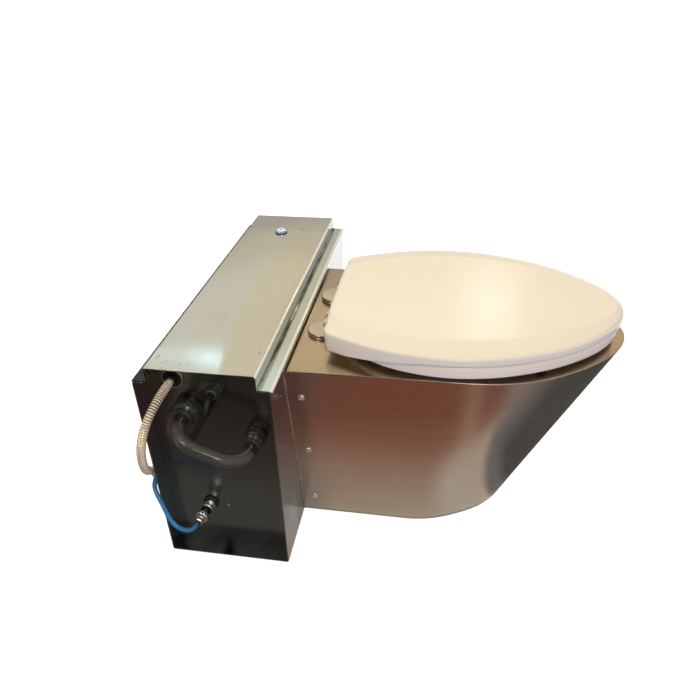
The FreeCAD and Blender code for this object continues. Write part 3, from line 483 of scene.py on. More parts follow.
def sheet_steel(name, col, rough, grain, tangent=None, aniso=0.0, smudge=0.06, var=0.10, warm=(1.0, 0.93, 0.86), edge=None, scratch=0.5, zones=None, rvar=0.055, bump=0.05):
    """Brushed stainless: fine streaks along the grain, smudges, a few scratches."""
    m = Mat(name)
    fine = m.noise(1.0, 4, 0.6, m.scaled(grain))
    wide = m.noise(1.0, 3, 0.5, m.scaled(tuple(g * 0.16 for g in grain)))
    haze = m.noise(5.5, 4, 0.6, dist=0.4)
    spots = m.noise(38, 3, 0.6)
    lo, hi = tuple(c * (1 - var) for c in col), tuple(min(1, c * (1 + var * 0.8)) for c in col)
    c = m.mix(m.range(fine, 0.3, 0.7, 0, 1), lo, hi)
    c = m.mix(m.range(wide, 0.35, 0.65, 0, 0.5), c, tuple(x * w for x, w in zip(col, warm)))
    c = m.mix(m.range(haze, 0.45, 0.75, 0, 0.35), c, tuple(x * 0.86 for x in col))
    # sparse short scratches across the grain
    sc = m.voronoi(1.0, m.scaled((46, 9, 46), (0.3, 0.2, 0.7)), "DISTANCE_TO_EDGE")
    sel = m.noise(9.0, 2, 0.5)
    line = m.math("MULTIPLY", m.range(sc, 0.0, 0.012, 1, 0), m.range(sel, 0.62, 0.7, 0, scratch))
    c = m.mix(line, c, tuple(min(1, x * 1.35) for x in col))
    if edge:
        c = m.mix(m.math("MULTIPLY", m.edge(0.0012), 0.75), c, edge)
    metal = None
    if zones == "cover":
        x, y, z = m.axis(0), m.axis(1), m.axis(2)
        drift = m.noise(1.0, 4, 0.6, m.scaled((16, 160, 160)))
        # front step: painted reflection on the web (a flat grey-green, less metal), painted shade along its foot, and a
        # painted highlight on the bend above it
        web = m.math("MULTIPLY", m.range(y, 0.1692, 0.1696, 0, 1), m.math("MULTIPLY", m.range(y, 0.1712, 0.1708, 0, 1), m.range(z, 0.4010, 0.4000, 0, 1)))
        c = m.mix(m.math("MULTIPLY", web, 0.9), c, (0.46, 0.49, 0.44))
        # painted reflection: the front ledge tinted cooler than the top, pale blue at the near end
        ledge = m.math("MULTIPLY", m.range(y, 0.1692, 0.1686, 0, 1), m.range(z, 0.3785, 0.3790, 0, 1))
        c = m.mix(ledge, c, m.mix(m.range(x, -0.12, -0.30, 0, 1, True), (0.56, 0.60, 0.60), (0.66, 0.80, 0.86)))
        # painted shade: a dark ragged streak in the corner at the foot of the web
        foot = m.math("MULTIPLY", m.range(y, 0.1652, 0.1666, 0, 1), m.range(y, 0.1706, 0.1698, 0, 1))
        foot = m.math("MULTIPLY", foot, m.math("MULTIPLY", m.range(z, 0.3775, 0.3785, 0, 1), m.range(z, 0.3870, 0.3835, 0, 1)))
        c = m.mix(m.math("MULTIPLY", foot, m.range(drift, 0.40, 0.56, 0.15, 0.95)), c, (0.030, 0.031, 0.029))
        # painted highlight: a pale line along the upper bend of the step
        bend = m.math("MULTIPLY", m.range(y, 0.1690, 0.1696, 0, 1), m.math("MULTIPLY", m.range(y, 0.1734, 0.1722, 0, 1), m.range(z, 0.4002, 0.4008, 0, 1)))
        c = m.mix(bend, c, (0.88, 0.89, 0.84))
        # painted highlight: a pale line along the front edge of the ledge
        lip = m.math("MULTIPLY", m.range(y, 0.1518, 0.1511, 0, 1), m.range(z, 0.3770, 0.3782, 0, 1))
        c = m.mix(lip, c, (0.74, 0.75, 0.69))
        # less metal where the web, bend and lip are painted, so the lamps light them
        metal = m.range(m.math("MAXIMUM", m.math("MAXIMUM", bend, lip), m.math("MULTIPLY", web, 0.9)), 0, 1, 1, 0.3)
        # painted reflection: the top turns grey beyond a ragged line, with a thin brown line along it
        rag = m.math("ADD", x, m.range(m.noise(1.0, 5, 0.7, m.scaled((60, 60, 60))), 0.3, 0.7, -0.012, 0.012))
        top = m.range(z, 0.4030, 0.4036, 0, 1)
        c = m.mix(m.math("MULTIPLY", top, m.range(rag, 0.268, 0.276, 0, 0.5)), c, (0.50, 0.50, 0.48))
        seam = m.math("MULTIPLY", m.range(rag, 0.262, 0.266, 0, 1), m.range(rag, 0.270, 0.266, 0, 1))
        seam = m.math("MULTIPLY", m.math("MULTIPLY", seam, top), m.range(m.noise(48, 3, 0.6), 0.47, 0.55, 0, 0.6))
        c = m.mix(seam, c, (0.36, 0.30, 0.21))
        # a few scuffs on the near half
        sc2 = m.math("MULTIPLY", m.range(m.noise(1.0, 4, 0.65, m.scaled((60, 150, 60), (0, 0, 0.5))), 0.60, 0.65, 0, 0.5), m.range(m.noise(11, 2, 0.5), 0.50, 0.58, 0, 1))
        c = m.mix(m.math("MULTIPLY", m.math("MULTIPLY", top, sc2), m.range(x, -0.02, -0.10, 0, 1)), c, (0.26, 0.25, 0.21))
        # the rear ledge is near black
        c = m.mix(m.math("MULTIPLY", m.range(y, 0.3462, 0.3472, 0, 0.97), m.range(z, 0.3830, 0.3815, 0, 1)), c, (0.016, 0.016, 0.016))
    if zones == "shell":
        # painted shade and reflection: the inside of the end recess gets a cool slate tone
        x, y = m.axis(0), m.axis(1)
        deep = m.math("MULTIPLY", m.range(x, -0.2520, -0.2535, 0, 1), m.math("MULTIPLY", m.range(y, 0.20, 0.21, 0, 1), m.range(y, 0.3670, 0.3668, 0, 1)))
        c = m.mix(deep, c, (0.44, 0.55, 0.62))
        # painted shade: the floor of the end recess near black
        recess_floor_shade = m.math("MULTIPLY", m.range(x, -0.2520, -0.2535, 0, 1), m.math("MULTIPLY", m.range(y, 0.1515, 0.1525, 0, 1), m.range(m.axis(2), 0.0060, 0.0045, 0, 1)))
        c = m.mix(recess_floor_shade, c, (0.055, 0.056, 0.056))
        # painted reflection: the near part of the outer front face tinted cool blue, lighter towards the bottom
        front = m.mix(m.range(m.axis(2), 0.14, 0.055, 0, 1, True), (0.33, 0.43, 0.53), (0.68, 0.82, 0.93))
        c = m.mix(m.math("MULTIPLY", m.range(y, 0.1509, 0.1505, 0, 0.85), m.range(x, -0.19, -0.23, 0, 1, True)), c, front)
    if zones == "panel":
        # the lower half is a little lighter and greener
        c = m.mix(m.range(m.axis(2), 0.24, 0.12, 0, 0.8, True), c, (0.265, 0.275, 0.262))
    m.put("Base Color", c)
    r = m.range(fine, 0.25, 0.75, rough - rvar, rough + rvar)
    r = m.math("ADD", r, m.range(haze, 0.35, 0.7, -smudge * 0.4, smudge))
    r = m.math("ADD", r, m.range(spots, 0.55, 0.75, 0, smudge * 0.6))
    m.put("Roughness", r)
    if metal is None:
        m.set(Metallic=1.0)
    else:
        m.put("Metallic", metal)
    m.bump(m.math("ADD", fine, m.math("MULTIPLY", wide, 0.6)), bump, 0.0003)
    if aniso:
        m.set(Anisotropic=aniso)
        tn = m.t.nodes.new("ShaderNodeTangent")
        tn.direction_type = "RADIAL"
        tn.axis = tangent or "Z"
        m.t.links.new(tn.outputs["Tangent"], m.b.inputs["Tangent"])
    return m.m


def plastic(name, col, rough, grain_scale, grain=0.05, mottle=0.06, coat=0.0, dust=None, dist=0.0004, rvar=0.05, darker_near_unions=False, coat_rough=0.12):
    m = Mat(name)
    big = m.noise(14, 4, 0.6)
    fine = m.noise(grain_scale, 3, 0.6)
    c = m.mix(m.range(big, 0.3, 0.7, 0, 1), tuple(x * (1 - mottle) for x in col), tuple(min(1, x * (1 + mottle)) for x in col))
    if dust:
        sp = m.math("MULTIPLY", m.range(m.noise(260, 2, 0.5), 0.63, 0.72, 0, 1), m.range(m.noise(22, 3, 0.5), 0.45, 0.65, 0, 0.7))
        c = m.mix(sp, c, dust)
    if darker_near_unions:
        # the hose is darker next to the unions
        c = m.mix(m.range(m.axis(0), -0.302, -0.297, 0, 1), c, (0.018, 0.020, 0.019))
    m.put("Base Color", c)
    r = m.range(big, 0.3, 0.7, rough - rvar * 0.8, rough + rvar)
    m.put("Roughness", m.math("ADD", r, m.range(fine, 0.4, 0.8, 0, rvar * 1.4)))
    m.bump(fine, grain, dist)
    if coat:
        m.set(Coat_Weight=coat, Coat_Roughness=coat_rough)
    return m.m


def plated(name, col, rough, smudge=0.1):
    m = Mat(name)
    f = m.noise(420, 3, 0.6)
    h = m.noise(45, 4, 0.6, dist=0.5)
    m.put("Base Color", m.mix(m.range(h, 0.35, 0.7, 0, 1), col, tuple(x * 0.8 for x in col)))
    m.put("Roughness", m.math("ADD", m.range(h, 0.35, 0.7, rough, rough + smudge), m.range(f, 0.4, 0.7, 0, 0.04)))
    m.set(Metallic=1.0)
    m.bump(f, 0.03, 0.0002)
    return m.m


STEEL = (0.60, 0.575, 0.53)
M = {}
M["cover"] = sheet_steel("steel_cover", (0.64, 0.63, 0.57), 0.085, (5, 520, 520), smudge=0.03, var=0.03, scratch=0.3, zones="cover", rvar=0.025, bump=0.02)
M["shell"] = sheet_steel("steel_shell", (0.48, 0.465, 0.45), 0.22, (6, 6, 420), smudge=0.06, var=0.05, zones="shell", rvar=0.03, bump=0.012, scratch=0.3)
# painted reflection: the end panels' steel gets a dark base colour for the dark room it mirrors
M["panel"] = sheet_steel("steel_panel", (0.235, 0.225, 0.220), 0.215, (7, 7, 420), smudge=0.05, var=0.04, zones="panel", rvar=0.03, bump=0.008, scratch=0.15)
M["shroud"] = sheet_steel("steel_shroud", (0.60, 0.56, 0.52), 0.21, (7, 7, 520), tangent="Z", aniso=0.3, smudge=0.07, var=0.07, rvar=0.045, bump=0.045)
M["deck"] = sheet_steel("steel_deck", (0.56, 0.455, 0.335), 0.24, (6, 420, 420), smudge=0.04, var=0.03, rvar=0.03, scratch=0.3, bump=0.02)
M["disc"] = sheet_steel("steel_disc", (0.64, 0.57, 0.46), 0.24, (8, 480, 480), smudge=0.04, var=0.04, rvar=0.03, bump=0.012)
M["inside"] = sheet_steel("steel_inside", STEEL, 0.30, (8, 8, 300))
M["bowl"] = sheet_steel("steel_bowl", (0.66, 0.66, 0.65), 0.20, (60, 60, 60), smudge=0.1, var=0.05, warm=(1, 0.98, 0.95))
M["bolt"] = plated("bolt_steel", (0.95, 0.94, 0.91), 0.17, 0.08)
M["chrome"] = plated("chrome", (0.80, 0.80, 0.80), 0.08, 0.10)
M["dark_waist_grey"] = plated("dark_waist_grey", (0.075, 0.073, 0.070), 0.22, 0.1)
M["brass"] = plated("turned_brass", (0.74, 0.56, 0.30), 0.25, 0.15)
M["copper"] = plated("ring_steel", (0.58, 0.56, 0.53), 0.24, 0.12)
# painted shade: the water inlet in the panel hole coloured near black
M["inlet_shade"] = plated("inlet_hole_shade", (0.10, 0.075, 0.06), 0.32, 0.15)
M["alu"] = plated("cast_aluminium", (0.66, 0.66, 0.67), 0.38, 0.12)
M["ivory"] = plastic("ivory_thermoset", (0.845, 0.745, 0.585), 0.25, 900, 0.015, 0.006, coat=0.25, rvar=0.004, coat_rough=0.22)
M["hose"] = plastic("hose_rubber", (0.050, 0.047, 0.036), 0.22, 320, 0.05, 0.14, coat=0.35, dust=(0.20, 0.18, 0.14), darker_near_unions=True)
M["rubber"] = plastic("black_rubber", (0.010, 0.010, 0.010), 0.50, 300, 0.12, 0.2)
M["black"] = plastic("black_polyamide", (0.030, 0.030, 0.024), 0.30, 520, 0.08, 0.2, coat=0.35, dust=(0.13, 0.13, 0.12))
M["blue"] = plastic("blue_tube", (0.030, 0.185, 0.40), 0.26, 420, 0.03, 0.06, coat=0.3)


def button_white():
    """White cap with a small blue-grey window in the middle."""
    m = Mat("white_cap")
    dx, dy = m.math("SUBTRACT", m.axis(0), 0.249), m.math("SUBTRACT", m.axis(1), 0.267)
    r2 = m.math("ADD", m.math("MULTIPLY", dx, dx), m.math("MULTIPLY", dy, dy))
    f = m.noise(500, 2, 0.5)
    m.put("Base Color", m.mix(m.range(r2, 0.0000150, 0.0000105, 0, 0.9), (0.84, 0.90, 0.95), (0.17, 0.27, 0.50)))
    m.put("Roughness", m.range(f, 0.3, 0.7, 0.19, 0.25))
    return m.m


M["white"] = button_white()


def ring_light():
    m = Mat("blue_ring")
    n = m.noise(240, 2, 0.5)
    m.put("Base Color", m.mix(m.range(n, 0.3, 0.7, 0, 1), (0.10, 0.20, 0.50), (0.16, 0.30, 0.66)))
    m.put("Roughness", m.range(n, 0.3, 0.7, 0.18, 0.3))
    m.set(Emission_Color=(0.25, 0.42, 0.95), Emission_Strength=0.35)
    return m.m


def corrugated():
    """Thin ringed steel hose; its gold-tan base colour is a painted reflection of warm surroundings."""
    m = Mat("corrugated_steel")
    a = m.noise(26, 3, 0.5)
    f = m.noise(700, 2, 0.5)
    c = m.mix(m.range(a, 0.35, 0.65, 0, 1), (0.98, 0.73, 0.44), (0.98, 0.86, 0.69))
    m.put("Base Color", c)
    m.put("Roughness", m.range(f, 0.3, 0.7, 0.20, 0.30))
    m.set(Metallic=0.5)
    m.bump(f, 0.05, 0.0002)
    return m.m


def weld():
    """Ground weld seam with blue-grey heat tint."""
    m = Mat("weld_seam")
    a = m.noise(120, 4, 0.65)
    b = m.noise(420, 3, 0.6)
    c = m.mix(m.range(a, 0.35, 0.65, 0, 1), (0.36, 0.37, 0.42), (0.62, 0.63, 0.68))
    m.put("Base Color", c)
    m.put("Roughness", m.range(b, 0.3, 0.7, 0.35, 0.6))
    m.set(Metallic=1.0)
    m.bump(b, 0.25, 0.0005)
    return m.m


M["ring"] = ring_light()
M["corr"] = corrugated()
# painted shade for the valleys of the ringed hose
M["valley"] = plated("valley_shade", (0.065, 0.042, 0.025), 0.45, 0.1)
M["weld"] = weld()


def paint(obj, key):
    obj.data.materials.clear()
    obj.data.materials.append(M[key])
    return obj


def add(obj, key, body, slot, *nodes):
    """Finish a new piece: material, body and the nodes it stands for; slot is not used."""
    paint(obj, key)
    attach(obj, body)
    if nodes:
        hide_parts(*nodes)
    return obj


# ---------------------------------------------------------------------------
# free hoses and cable
# ---------------------------------------------------------------------------
WATER = [(22, 167.5, 366), (3, 167.5, 366.4), (-17, 168.5, 364.5), (-34, 171.5, 358), (-47, 177, 346), (-55, 183.5, 329),
         (-57, 190.5, 308), (-54, 197.5, 285.5), (-47.5, 203.5, 263), (-38, 209.5, 241), (-26, 215.5, 221), (-11.5, 222, 204),
         (3.5, 229.5, 189), (19, 237, 175.5), (34, 243, 159.5), (47.5, 246.6, 140), (58, 248.6, 117.5), (67.5, 249.8, 93.5),
         (79, 251, 69.5), (94.5, 252.2, 46), (114, 253.5, 27), (135, 255.8, 16.5), (154, 256.8, 11.8), (172, 256.8, 11.8)]
AIR = [(-22.45, 149.966, 98), (-29.8, 151.3, 98.3), (-36.2, 155.4, 100.2), (-40.4, 161.6, 103.6), (-42.2, 169.6, 108.4), (-41.2, 178, 114.2),
       (-37, 186.4, 120.8), (-30.2, 194.6, 128), (-22, 202.8, 135.2), (-13.5, 211.7, 141), (-6, 219.8, 147), (3, 226.4, 153),
       (14.5, 229.8, 156.5), (26.5, 231.2, 155.5), (37.5, 232, 149), (46, 232.4, 137), (51.5, 232.5, 121), (55, 232.6, 103),
       (59, 232.8, 84), (65, 233.1, 65), (73.5, 233.5, 46.5), (83.5, 233.9, 30.5), (98, 234.5, 18), (116, 235.3, 9.6), (136, 235.3, 7),
       (155, 235.3, 7)]
CABLE = [(14, 101, 351), (5.5, 101, 350.8), (-2, 101.2, 347.8), (-7.3, 102.3, 340.9), (-9.7, 105.2, 332.4), (-9.6, 109.9, 321.9),
         (-7.2, 116.2, 309.8), (-3.2, 123.6, 296.7), (0.4, 129.4, 286.4), (4.2, 135.3, 277)]


def route_curve(name, pts):
    cu = bpy.data.curves.new(name, "CURVE")
    cu.dimensions = "3D"
    sp = cu.splines.new("NURBS")
    sp.points.add(len(pts) - 1)
    for p, q in zip(sp.points, pts):
        p.co = (*mm(*q), 1.0)
    sp.order_u = 3
    sp.use_endpoint_u = True
    cu.resolution_u = 12
    return link(name, cu)


def line_of(curve):
    """Points along a route's own spline."""
    bpy.context.view_layer.update()
    me = bpy.data.meshes.new_from_object(curve.evaluated_get(bpy.context.evaluated_depsgraph_get()))
    pts = [v.co.copy() for v in me.vertices]
    bpy.data.meshes.remove(me)
    return pts


def length_of(pts):
    return sum((b - a).length for a, b in zip(pts, pts[1:]))


tmp = route_curve("water_route", WATER)
line = line_of(tmp)
bpy.data.objects.remove(tmp)
# ringed wall: about 4 mm from crest to crest
pitch, wall = 0.0040, [5.25, 5.25, 6.2, 6.85, 7.0, 6.85, 6.2]
pts = resample(line, pitch / len(wall))
rad = [wall[i % len(wall)] / 1000 for i in range(len(pts))]
for i in range(8):
    rad[i] = 0.0062
    rad[-1 - i] = 0.0062
water = tube("water_hose_rings", pts, rad, 22, sharp=0)
add(water, "corr", "base", "corrugated_steel", "water_hose")
# painted shade: dark valleys between the rings
water.data.materials.append(M["valley"])
for k, f in enumerate(water.data.polygons):
    ring = k // 22
    if 8 <= ring < len(pts) - 9 and ring % len(wall) in (0, 6):
        f.material_index = 1
length_of(line)

air = route_curve("air_tube_line", AIR)
line = line_of(air)
air.data.bevel_depth = 0.004
air.data.bevel_resolution = 8
air.data.use_fill_caps = True
add(air, "blue", "base", "blue_tube", "air_tube")
length_of(line)

cable = route_curve("power_cable_line", CABLE)
line = line_of(cable)
cable.data.bevel_depth = 0.0045
cable.data.bevel_resolution = 8
cable.data.use_fill_caps = True
add(cable, "rubber", "base", "black_rubber", "power_cable")
length_of(line)

# ---------------------------------------------------------------------------
# cabinet: folded sheets with real bends
# ---------------------------------------------------------------------------
cover = folded("cover_sheet", [(-3, 373), (-3, 378.5), (21, 378.5), (21, 403), (196, 403), (196, 378.5), (218, 378.5)], 2, 2.6, 0, 628)
drill(cover, [(mm(535, 117, 398), (0, 0, 1), 0.0113, 0.010)])
bevel(cover, 0.00035, 2, 50)
add(cover, "cover", "base", "stainless", "cabinet_cover")

shell = folded("shell_sheet", [(18, 376.5), (1, 376.5), (1, 1), (217, 1), (217, 376.5), (200, 376.5)], 2, 2.6, 0, 628)
drill(shell, [(mm(PAN, -4, 42), (0, 1, 0), 0.031, 0.012), (mm(PAN, 210, 42), (0, 1, 0), 0.031, 0.012)]
      + [(mm(x, y, -4), (0, 0, 1), 0.0055, 0.012) for x in (74, 554) for y in (44, 174)])
bevel(shell, 0.00035, 2, 50)
add(shell, "shell", "base", "stainless", "cabinet_shell")

# ---------------------------------------------------------------------------
# pan: shroud, deck, weld
# ---------------------------------------------------------------------------
TOP = 365.5
RIM = [(184, -240), (182.5, -311), (175.5, -356), (159.5, -402), (131, -451), (98.5, -492), (55, -529), (0, -546)]
FOOT = [(127, -190), (124, -228), (113.5, -265), (97, -300), (75, -334), (50, -358), (25.5, -373), (0, -378)]


def pan_line(z, n_side=14, n_nose=120):
    """Half-open outline of the shroud at a height: rear left, round the nose, to rear right; (x, y) in mm."""
    k = z / TOP
    hw = 127 * (1 - k) + 187 * k
    pts = [(a[0] * (1 - k) + c[0] * k, a[1] * (1 - k) + c[1] * k) for a, c in zip(FOOT, RIM)]
    full = [(-x, y) for x, y in pts] + [(x, y) for x, y in reversed(pts[:-1])]
    side = np.array([hw - pts[0][0], pts[0][1]])
    side = side / np.linalg.norm(side)
    f = cubic(chords(full), full, d0=side, d1=(side[0], -side[1]))
    T = chords(full)[-1]
    left = [np.array((-hw, 0)) * (1 - i / n_side) + np.array(full[0]) * (i / n_side) for i in range(n_side)]
    nose = [f(T * i / n_nose) for i in range(n_nose + 1)]
    rgt = [np.array(full[-1]) * (1 - i / n_side) + np.array((hw, 0)) * (i / n_side) for i in range(1, n_side + 1)]
    return np.array(left + nose + rgt)


def pan_inset(line, t):
    d = np.gradient(line, axis=0)
    d[0], d[-1] = line[1] - line[0], line[-1] - line[-2]
    d /= np.linalg.norm(d, axis=1)[:, None]
    nrm = np.stack([-d[:, 1], d[:, 0]], 1)
    return line + nrm * t


def shroud_mesh():
    zs = [0, 0.6, 20, 60, 100, 140, 180, 220, 260, 300, 330, 350, 362, 364.9, TOP]
    outer, inner = [], []
    for z in zs:
        ln = pan_line(z)
        o = pan_inset(ln, 0.6 if z == 0 else 0.0)
        outer.append([mm(PAN + p[0], min(p[1], -0.02), z) for p in o])
        ii = pan_inset(ln, 2.0)
        inner.append([mm(PAN + p[0], min(p[1], -0.02), z) for p in ii])
    n, m = len(outer[0]), len(zs)
    verts = [v for r in outer for v in r] + [v for r in inner for v in r]
    faces = []
    o = n * m
    for k in range(m - 1):
        for i in range(n - 1):
            a, b = k * n + i, (k + 1) * n + i
            faces.append((a, a + 1, b + 1, b))
            faces.append((o + a, o + b, o + b + 1, o + a + 1))
        a, b = k * n, (k + 1) * n
        faces.append((a, b, o + b, o + a))
        a, b = k * n + n - 1, (k + 1) * n + n - 1
        faces.append((a, o + a, o + b, b))
    for i in range(n - 1):
        faces.append((i, o + i, o + i + 1, i + 1))
        a = (m - 1) * n + i
        faces.append((a, a + 1, o + a + 1, o + a))
    return mesh_object("shroud_sheet", verts, faces, sharp=55)


shroud = shroud_mesh()
add(shroud, "shroud", "base", "stainless", "shroud")


def deck_mesh():
    """Flat deck with a rounded outer edge and the bowl opening."""
    ln = pan_line(TOP)
    n_in = 160
    hole = [(142 * math.sin(TAU * i / n_in), -300 + 182 * math.cos(TAU * i / n_in)) for i in range(n_in)]
    out = [(p[0], min(p[1], -0.02)) for p in ln]
    bm = bmesh.new()

    def loop(pts, z):
        vs = [bm.verts.new(mm(PAN + x, y, z)) for x, y in pts]
        es = [bm.edges.new((vs[i], vs[(i + 1) % len(vs)])) for i in range(len(vs))]
        return vs, es

    steps = [(0.0, 365.5), (0.0, 366.0), (0.22, 366.75), (0.75, 367.3), (1.5, 367.5)]
    prev = None
    first = None
    for t, z in steps:
        pts = pan_inset(ln, t)
        ring = [(p[0], min(p[1], -0.02)) for p in pts]
        vs, es = loop(ring, z)
        if prev:
            for i in range(len(vs) - 1):
                bm.faces.new((prev[i], prev[i + 1], vs[i + 1], vs[i]))
            i = len(vs) - 1
            bm.faces.new((prev[i], prev[0], vs[0], vs[i]))
        else:
            first = (vs, es)
        prev, last = vs, es
    hv, he = loop(hole, 367.5)
    bmesh.ops.triangle_fill(bm, use_beauty=True, edges=last + he)
    lv, le = loop(hole, 365.5)
    for i in range(n_in):
        j = (i + 1) % n_in
        bm.faces.new((hv[i], hv[j], lv[j], lv[i]))
    bmesh.ops.triangle_fill(bm, use_beauty=True, edges=first[1] + le)
    bmesh.ops.recalc_face_normals(bm, faces=bm.faces)
    me = bpy.data.meshes.new("deck_sheet")
    bm.to_mesh(me)
    bm.free()
    for p in me.polygons:
        p.use_smooth = True
    me.set_sharp_from_angle(angle=math.radians(42))
    return link("deck_sheet", me)


deck = deck_mesh()
add(deck, "deck", "base", "stainless", "deck_plate")


def weld_bead(name, s):
    """Flat ground bead in the corner between the front panel and the shroud."""
    rings = []
    seg = 10
    for i in range(181):
        z = 3 + (TOP - 6) * i / 180
        hw = 127 + 60 * z / TOP
        c = mm(PAN + s * hw, -0.6, z)
        w = 2.5 + 0.9 * noise.noise(Vector((z * 0.11, s, 0))) + 0.6 * noise.noise(Vector((z * 0.47, s, 3)))
        t = 1.25 + 0.35 * noise.noise(Vector((z * 0.31, s, 7)))
        ring = []
        for k in range(seg):
            a = TAU * k / seg
            ring.append(c + Vector((s * (0.6 + w * math.cos(a)) / 1000, -t * math.sin(a) / 1000, 0)))
        rings.append(ring)
    return rings_object(name, rings, sharp=60)


for s, nm in ((-1, "weld_bead_near"), (1, "weld_bead_far")):
    add(weld_bead(nm, s), "weld", "base", "stainless")

# ---------------------------------------------------------------------------
# seat and lid
# ---------------------------------------------------------------------------
LID = [(0, -55), (50, -55), (100, -55.1), (124, -55.6), (136, -57.8), (143.5, -63), (149, -72), (157.5, -90), (170, -121),
       (180.5, -152), (189.5, -190), (194.5, -235), (194, -275), (188.5, -312), (178, -350), (164, -388), (146, -424), (124, -457),
       (99.5, -485), (71, -510), (37, -528.5), (0, -535)]
CROWN = [(0, -57), (34, -57), (62, -57.2), (78, -58), (88, -61.5), (96, -70), (106.5, -87), (123, -121), (135.5, -156), (145, -198),
         (150, -240), (150, -280), (146, -314), (138, -350), (126, -385), (110, -420), (92, -451), (72, -478), (50, -501), (26, -517),
         (13, -521.5), (0, -523)]
SEAT = [(0, -76), (60, -76.5), (92, -80), (116, -91), (138, -108.5), (157, -130), (171, -155), (182.5, -189), (189, -222), (191.5, -252),
        (189, -290), (182.5, -325), (171.5, -360), (156.5, -395), (137, -430), (114, -462), (87, -491), (56, -514), (28, -526.5),
        (0, -530.5)]
HOLE = [(0, -150), (42, -153), (77, -168), (100, -200), (110, -245), (110, -292), (103, -338), (88, -382), (64, -418), (33, -440), (0, -447)]
HY, HZ = -52.0, 392.0
HINGE_X = (PAN - 62, PAN + 62)


def smooth01(a, b, x):
    t = min(1, max(0, (x - a) / (b - a)))
    return t * t * (3 - 2 * t)


def ear(name, x0, x1, y_lo, y_hi, z_lo, z_hi):
    """Hinge ear: a round eye of radius 8 with a flat tongue, bored for the pin."""
    n = 64
    outer = []
    for i in range(n):
        th = TAU * i / n
        c, s = math.cos(th), math.sin(th)
        best = 8.0
        # where this ray leaves the tongue's rectangle
        lim = []
        if abs(c) > 1e-9:
            lim.append(((y_hi if c > 0 else y_lo) - HY) / c)
        if abs(s) > 1e-9:
            lim.append(((z_hi if s > 0 else z_lo) - HZ) / s)
        lim = [v for v in lim if v >= 0]
        if lim:
            best = max(best, min(lim))
        outer.append((HY + best * c, HZ + best * s))
    inner = [(HY + 4.06 * math.cos(TAU * i / n), HZ + 4.06 * math.sin(TAU * i / n)) for i in range(n)]
    rings = [[mm(x0, y, z) for y, z in outer], [mm(x1, y, z) for y, z in outer],
             [mm(x1, y, z) for y, z in inner], [mm(x0, y, z) for y, z in inner]]
    return rings_object(name, rings, close=True, sharp=35)


def lid_mesh():
    n = 420
    rim = loop_from_half(LID, n)
    crown = loop_from_half(CROWN, n)
    # skirt: deep beside the hinge, running out towards the middle of the side
    low = np.array([402 - 18 * (0.75 * min(1, max(0, (y + 225) / 135)) + 0.25 * smooth01(-225, -90, y)) * (1 - smooth01(-62, -58.5, y)) for _, y in rim])
    low = np.where(np.abs(rim[:, 0]) > 126, low, 402.0)
    z_rim = 416.0

    def ring(loop, z):
        z = np.broadcast_to(z, (n,))
        return [mm(PAN + p[0], p[1], h) for p, h in zip(loop, z)]

    def mixed(f):
        """Between the rim outline and the crown outline."""
        return rim * (1 - f) + crown * f

    rings = []
    # underside, from the middle out, each loop drawn towards the middle
    mid = np.array((0.0, -285.0))
    reach = np.linalg.norm(rim - mid, axis=1)[:, None]

    def drawn(t, k=1.0):
        return mid + (rim - mid) * (1 - t / reach) * k

    for t, k, z in ((22, 0.05, 404.6), (22, 0.4, 404.6), (22, 0.68, 404.6), (22, 0.88, 404.6), (22, 1, 404.5), (19.6, 1, 404.2), (18.4, 1, 403.2), (17.2, 1, 402.4), (16, 1, 402.15)):
        rings.append(ring(drawn(t, k), z))
    rings.append(ring(inward(rim, 7.0), 402.0))
    rings.append(ring(inward(rim, 5.4), np.minimum(402.0, low + 2.0)))
    rings.append(ring(inward(rim, 4.6), low + 0.35))
    rings.append(ring(inward(rim, 3.2), low))
    rings.append(ring(inward(rim, 1.4), low + 0.15))
    rings.append(ring(inward(rim, 0.45), low + 0.75))
    rings.append(ring(inward(rim, 0.06), low + 2.0))
    for f in (0.3, 0.55, 0.78):
        rings.append(ring(rim, low + 2.0 + (z_rim - 3.6 - low - 2.0) * f))
    rings.append(ring(inward(rim, 0.05), z_rim - 3.6))
    rings.append(ring(inward(rim, 0.45), z_rim - 2.0))
    rings.append(ring(inward(rim, 1.4), z_rim - 0.7))
    rings.append(ring(inward(rim, 3.0), z_rim + 0.05))
    rings.append(ring(mixed(0.14), z_rim + 0.75))
    # broad shallow slope up to the crease, then a nearly flat crown
    for f, z in ((0.3, 2.05), (0.5, 3.70), (0.7, 5.35), (0.86, 6.62), (0.95, 7.24), (1.0, 7.36)):
        rings.append(ring(mixed(f), z_rim + z))
    c = np.array((0.0, -285.0))
    for k, z in ((0.97, 7.40), (0.85, 7.50), (0.65, 7.66), (0.4, 7.80), (0.18, 7.88), (0.05, 7.9)):
        rings.append(ring(c + (crown - c) * k, z_rim + z))
    body = rings_object("lid_moulding", rings, sharp=0)
    ears = []
    for i, s in ((0, -1), (1, 1)):
        a, b = sorted((HINGE_X[i] + s * 8.6, HINGE_X[i] + s * 18.6))
        ears.append(ear("lid_ear%d" % i, a, b, HY - 14, HY, HZ, 404.0))
    return join("lid_moulding", [body] + ears)


lid = lid_mesh()
add(lid, "ivory", "lid", "ivory_plastic", "seat_lid")


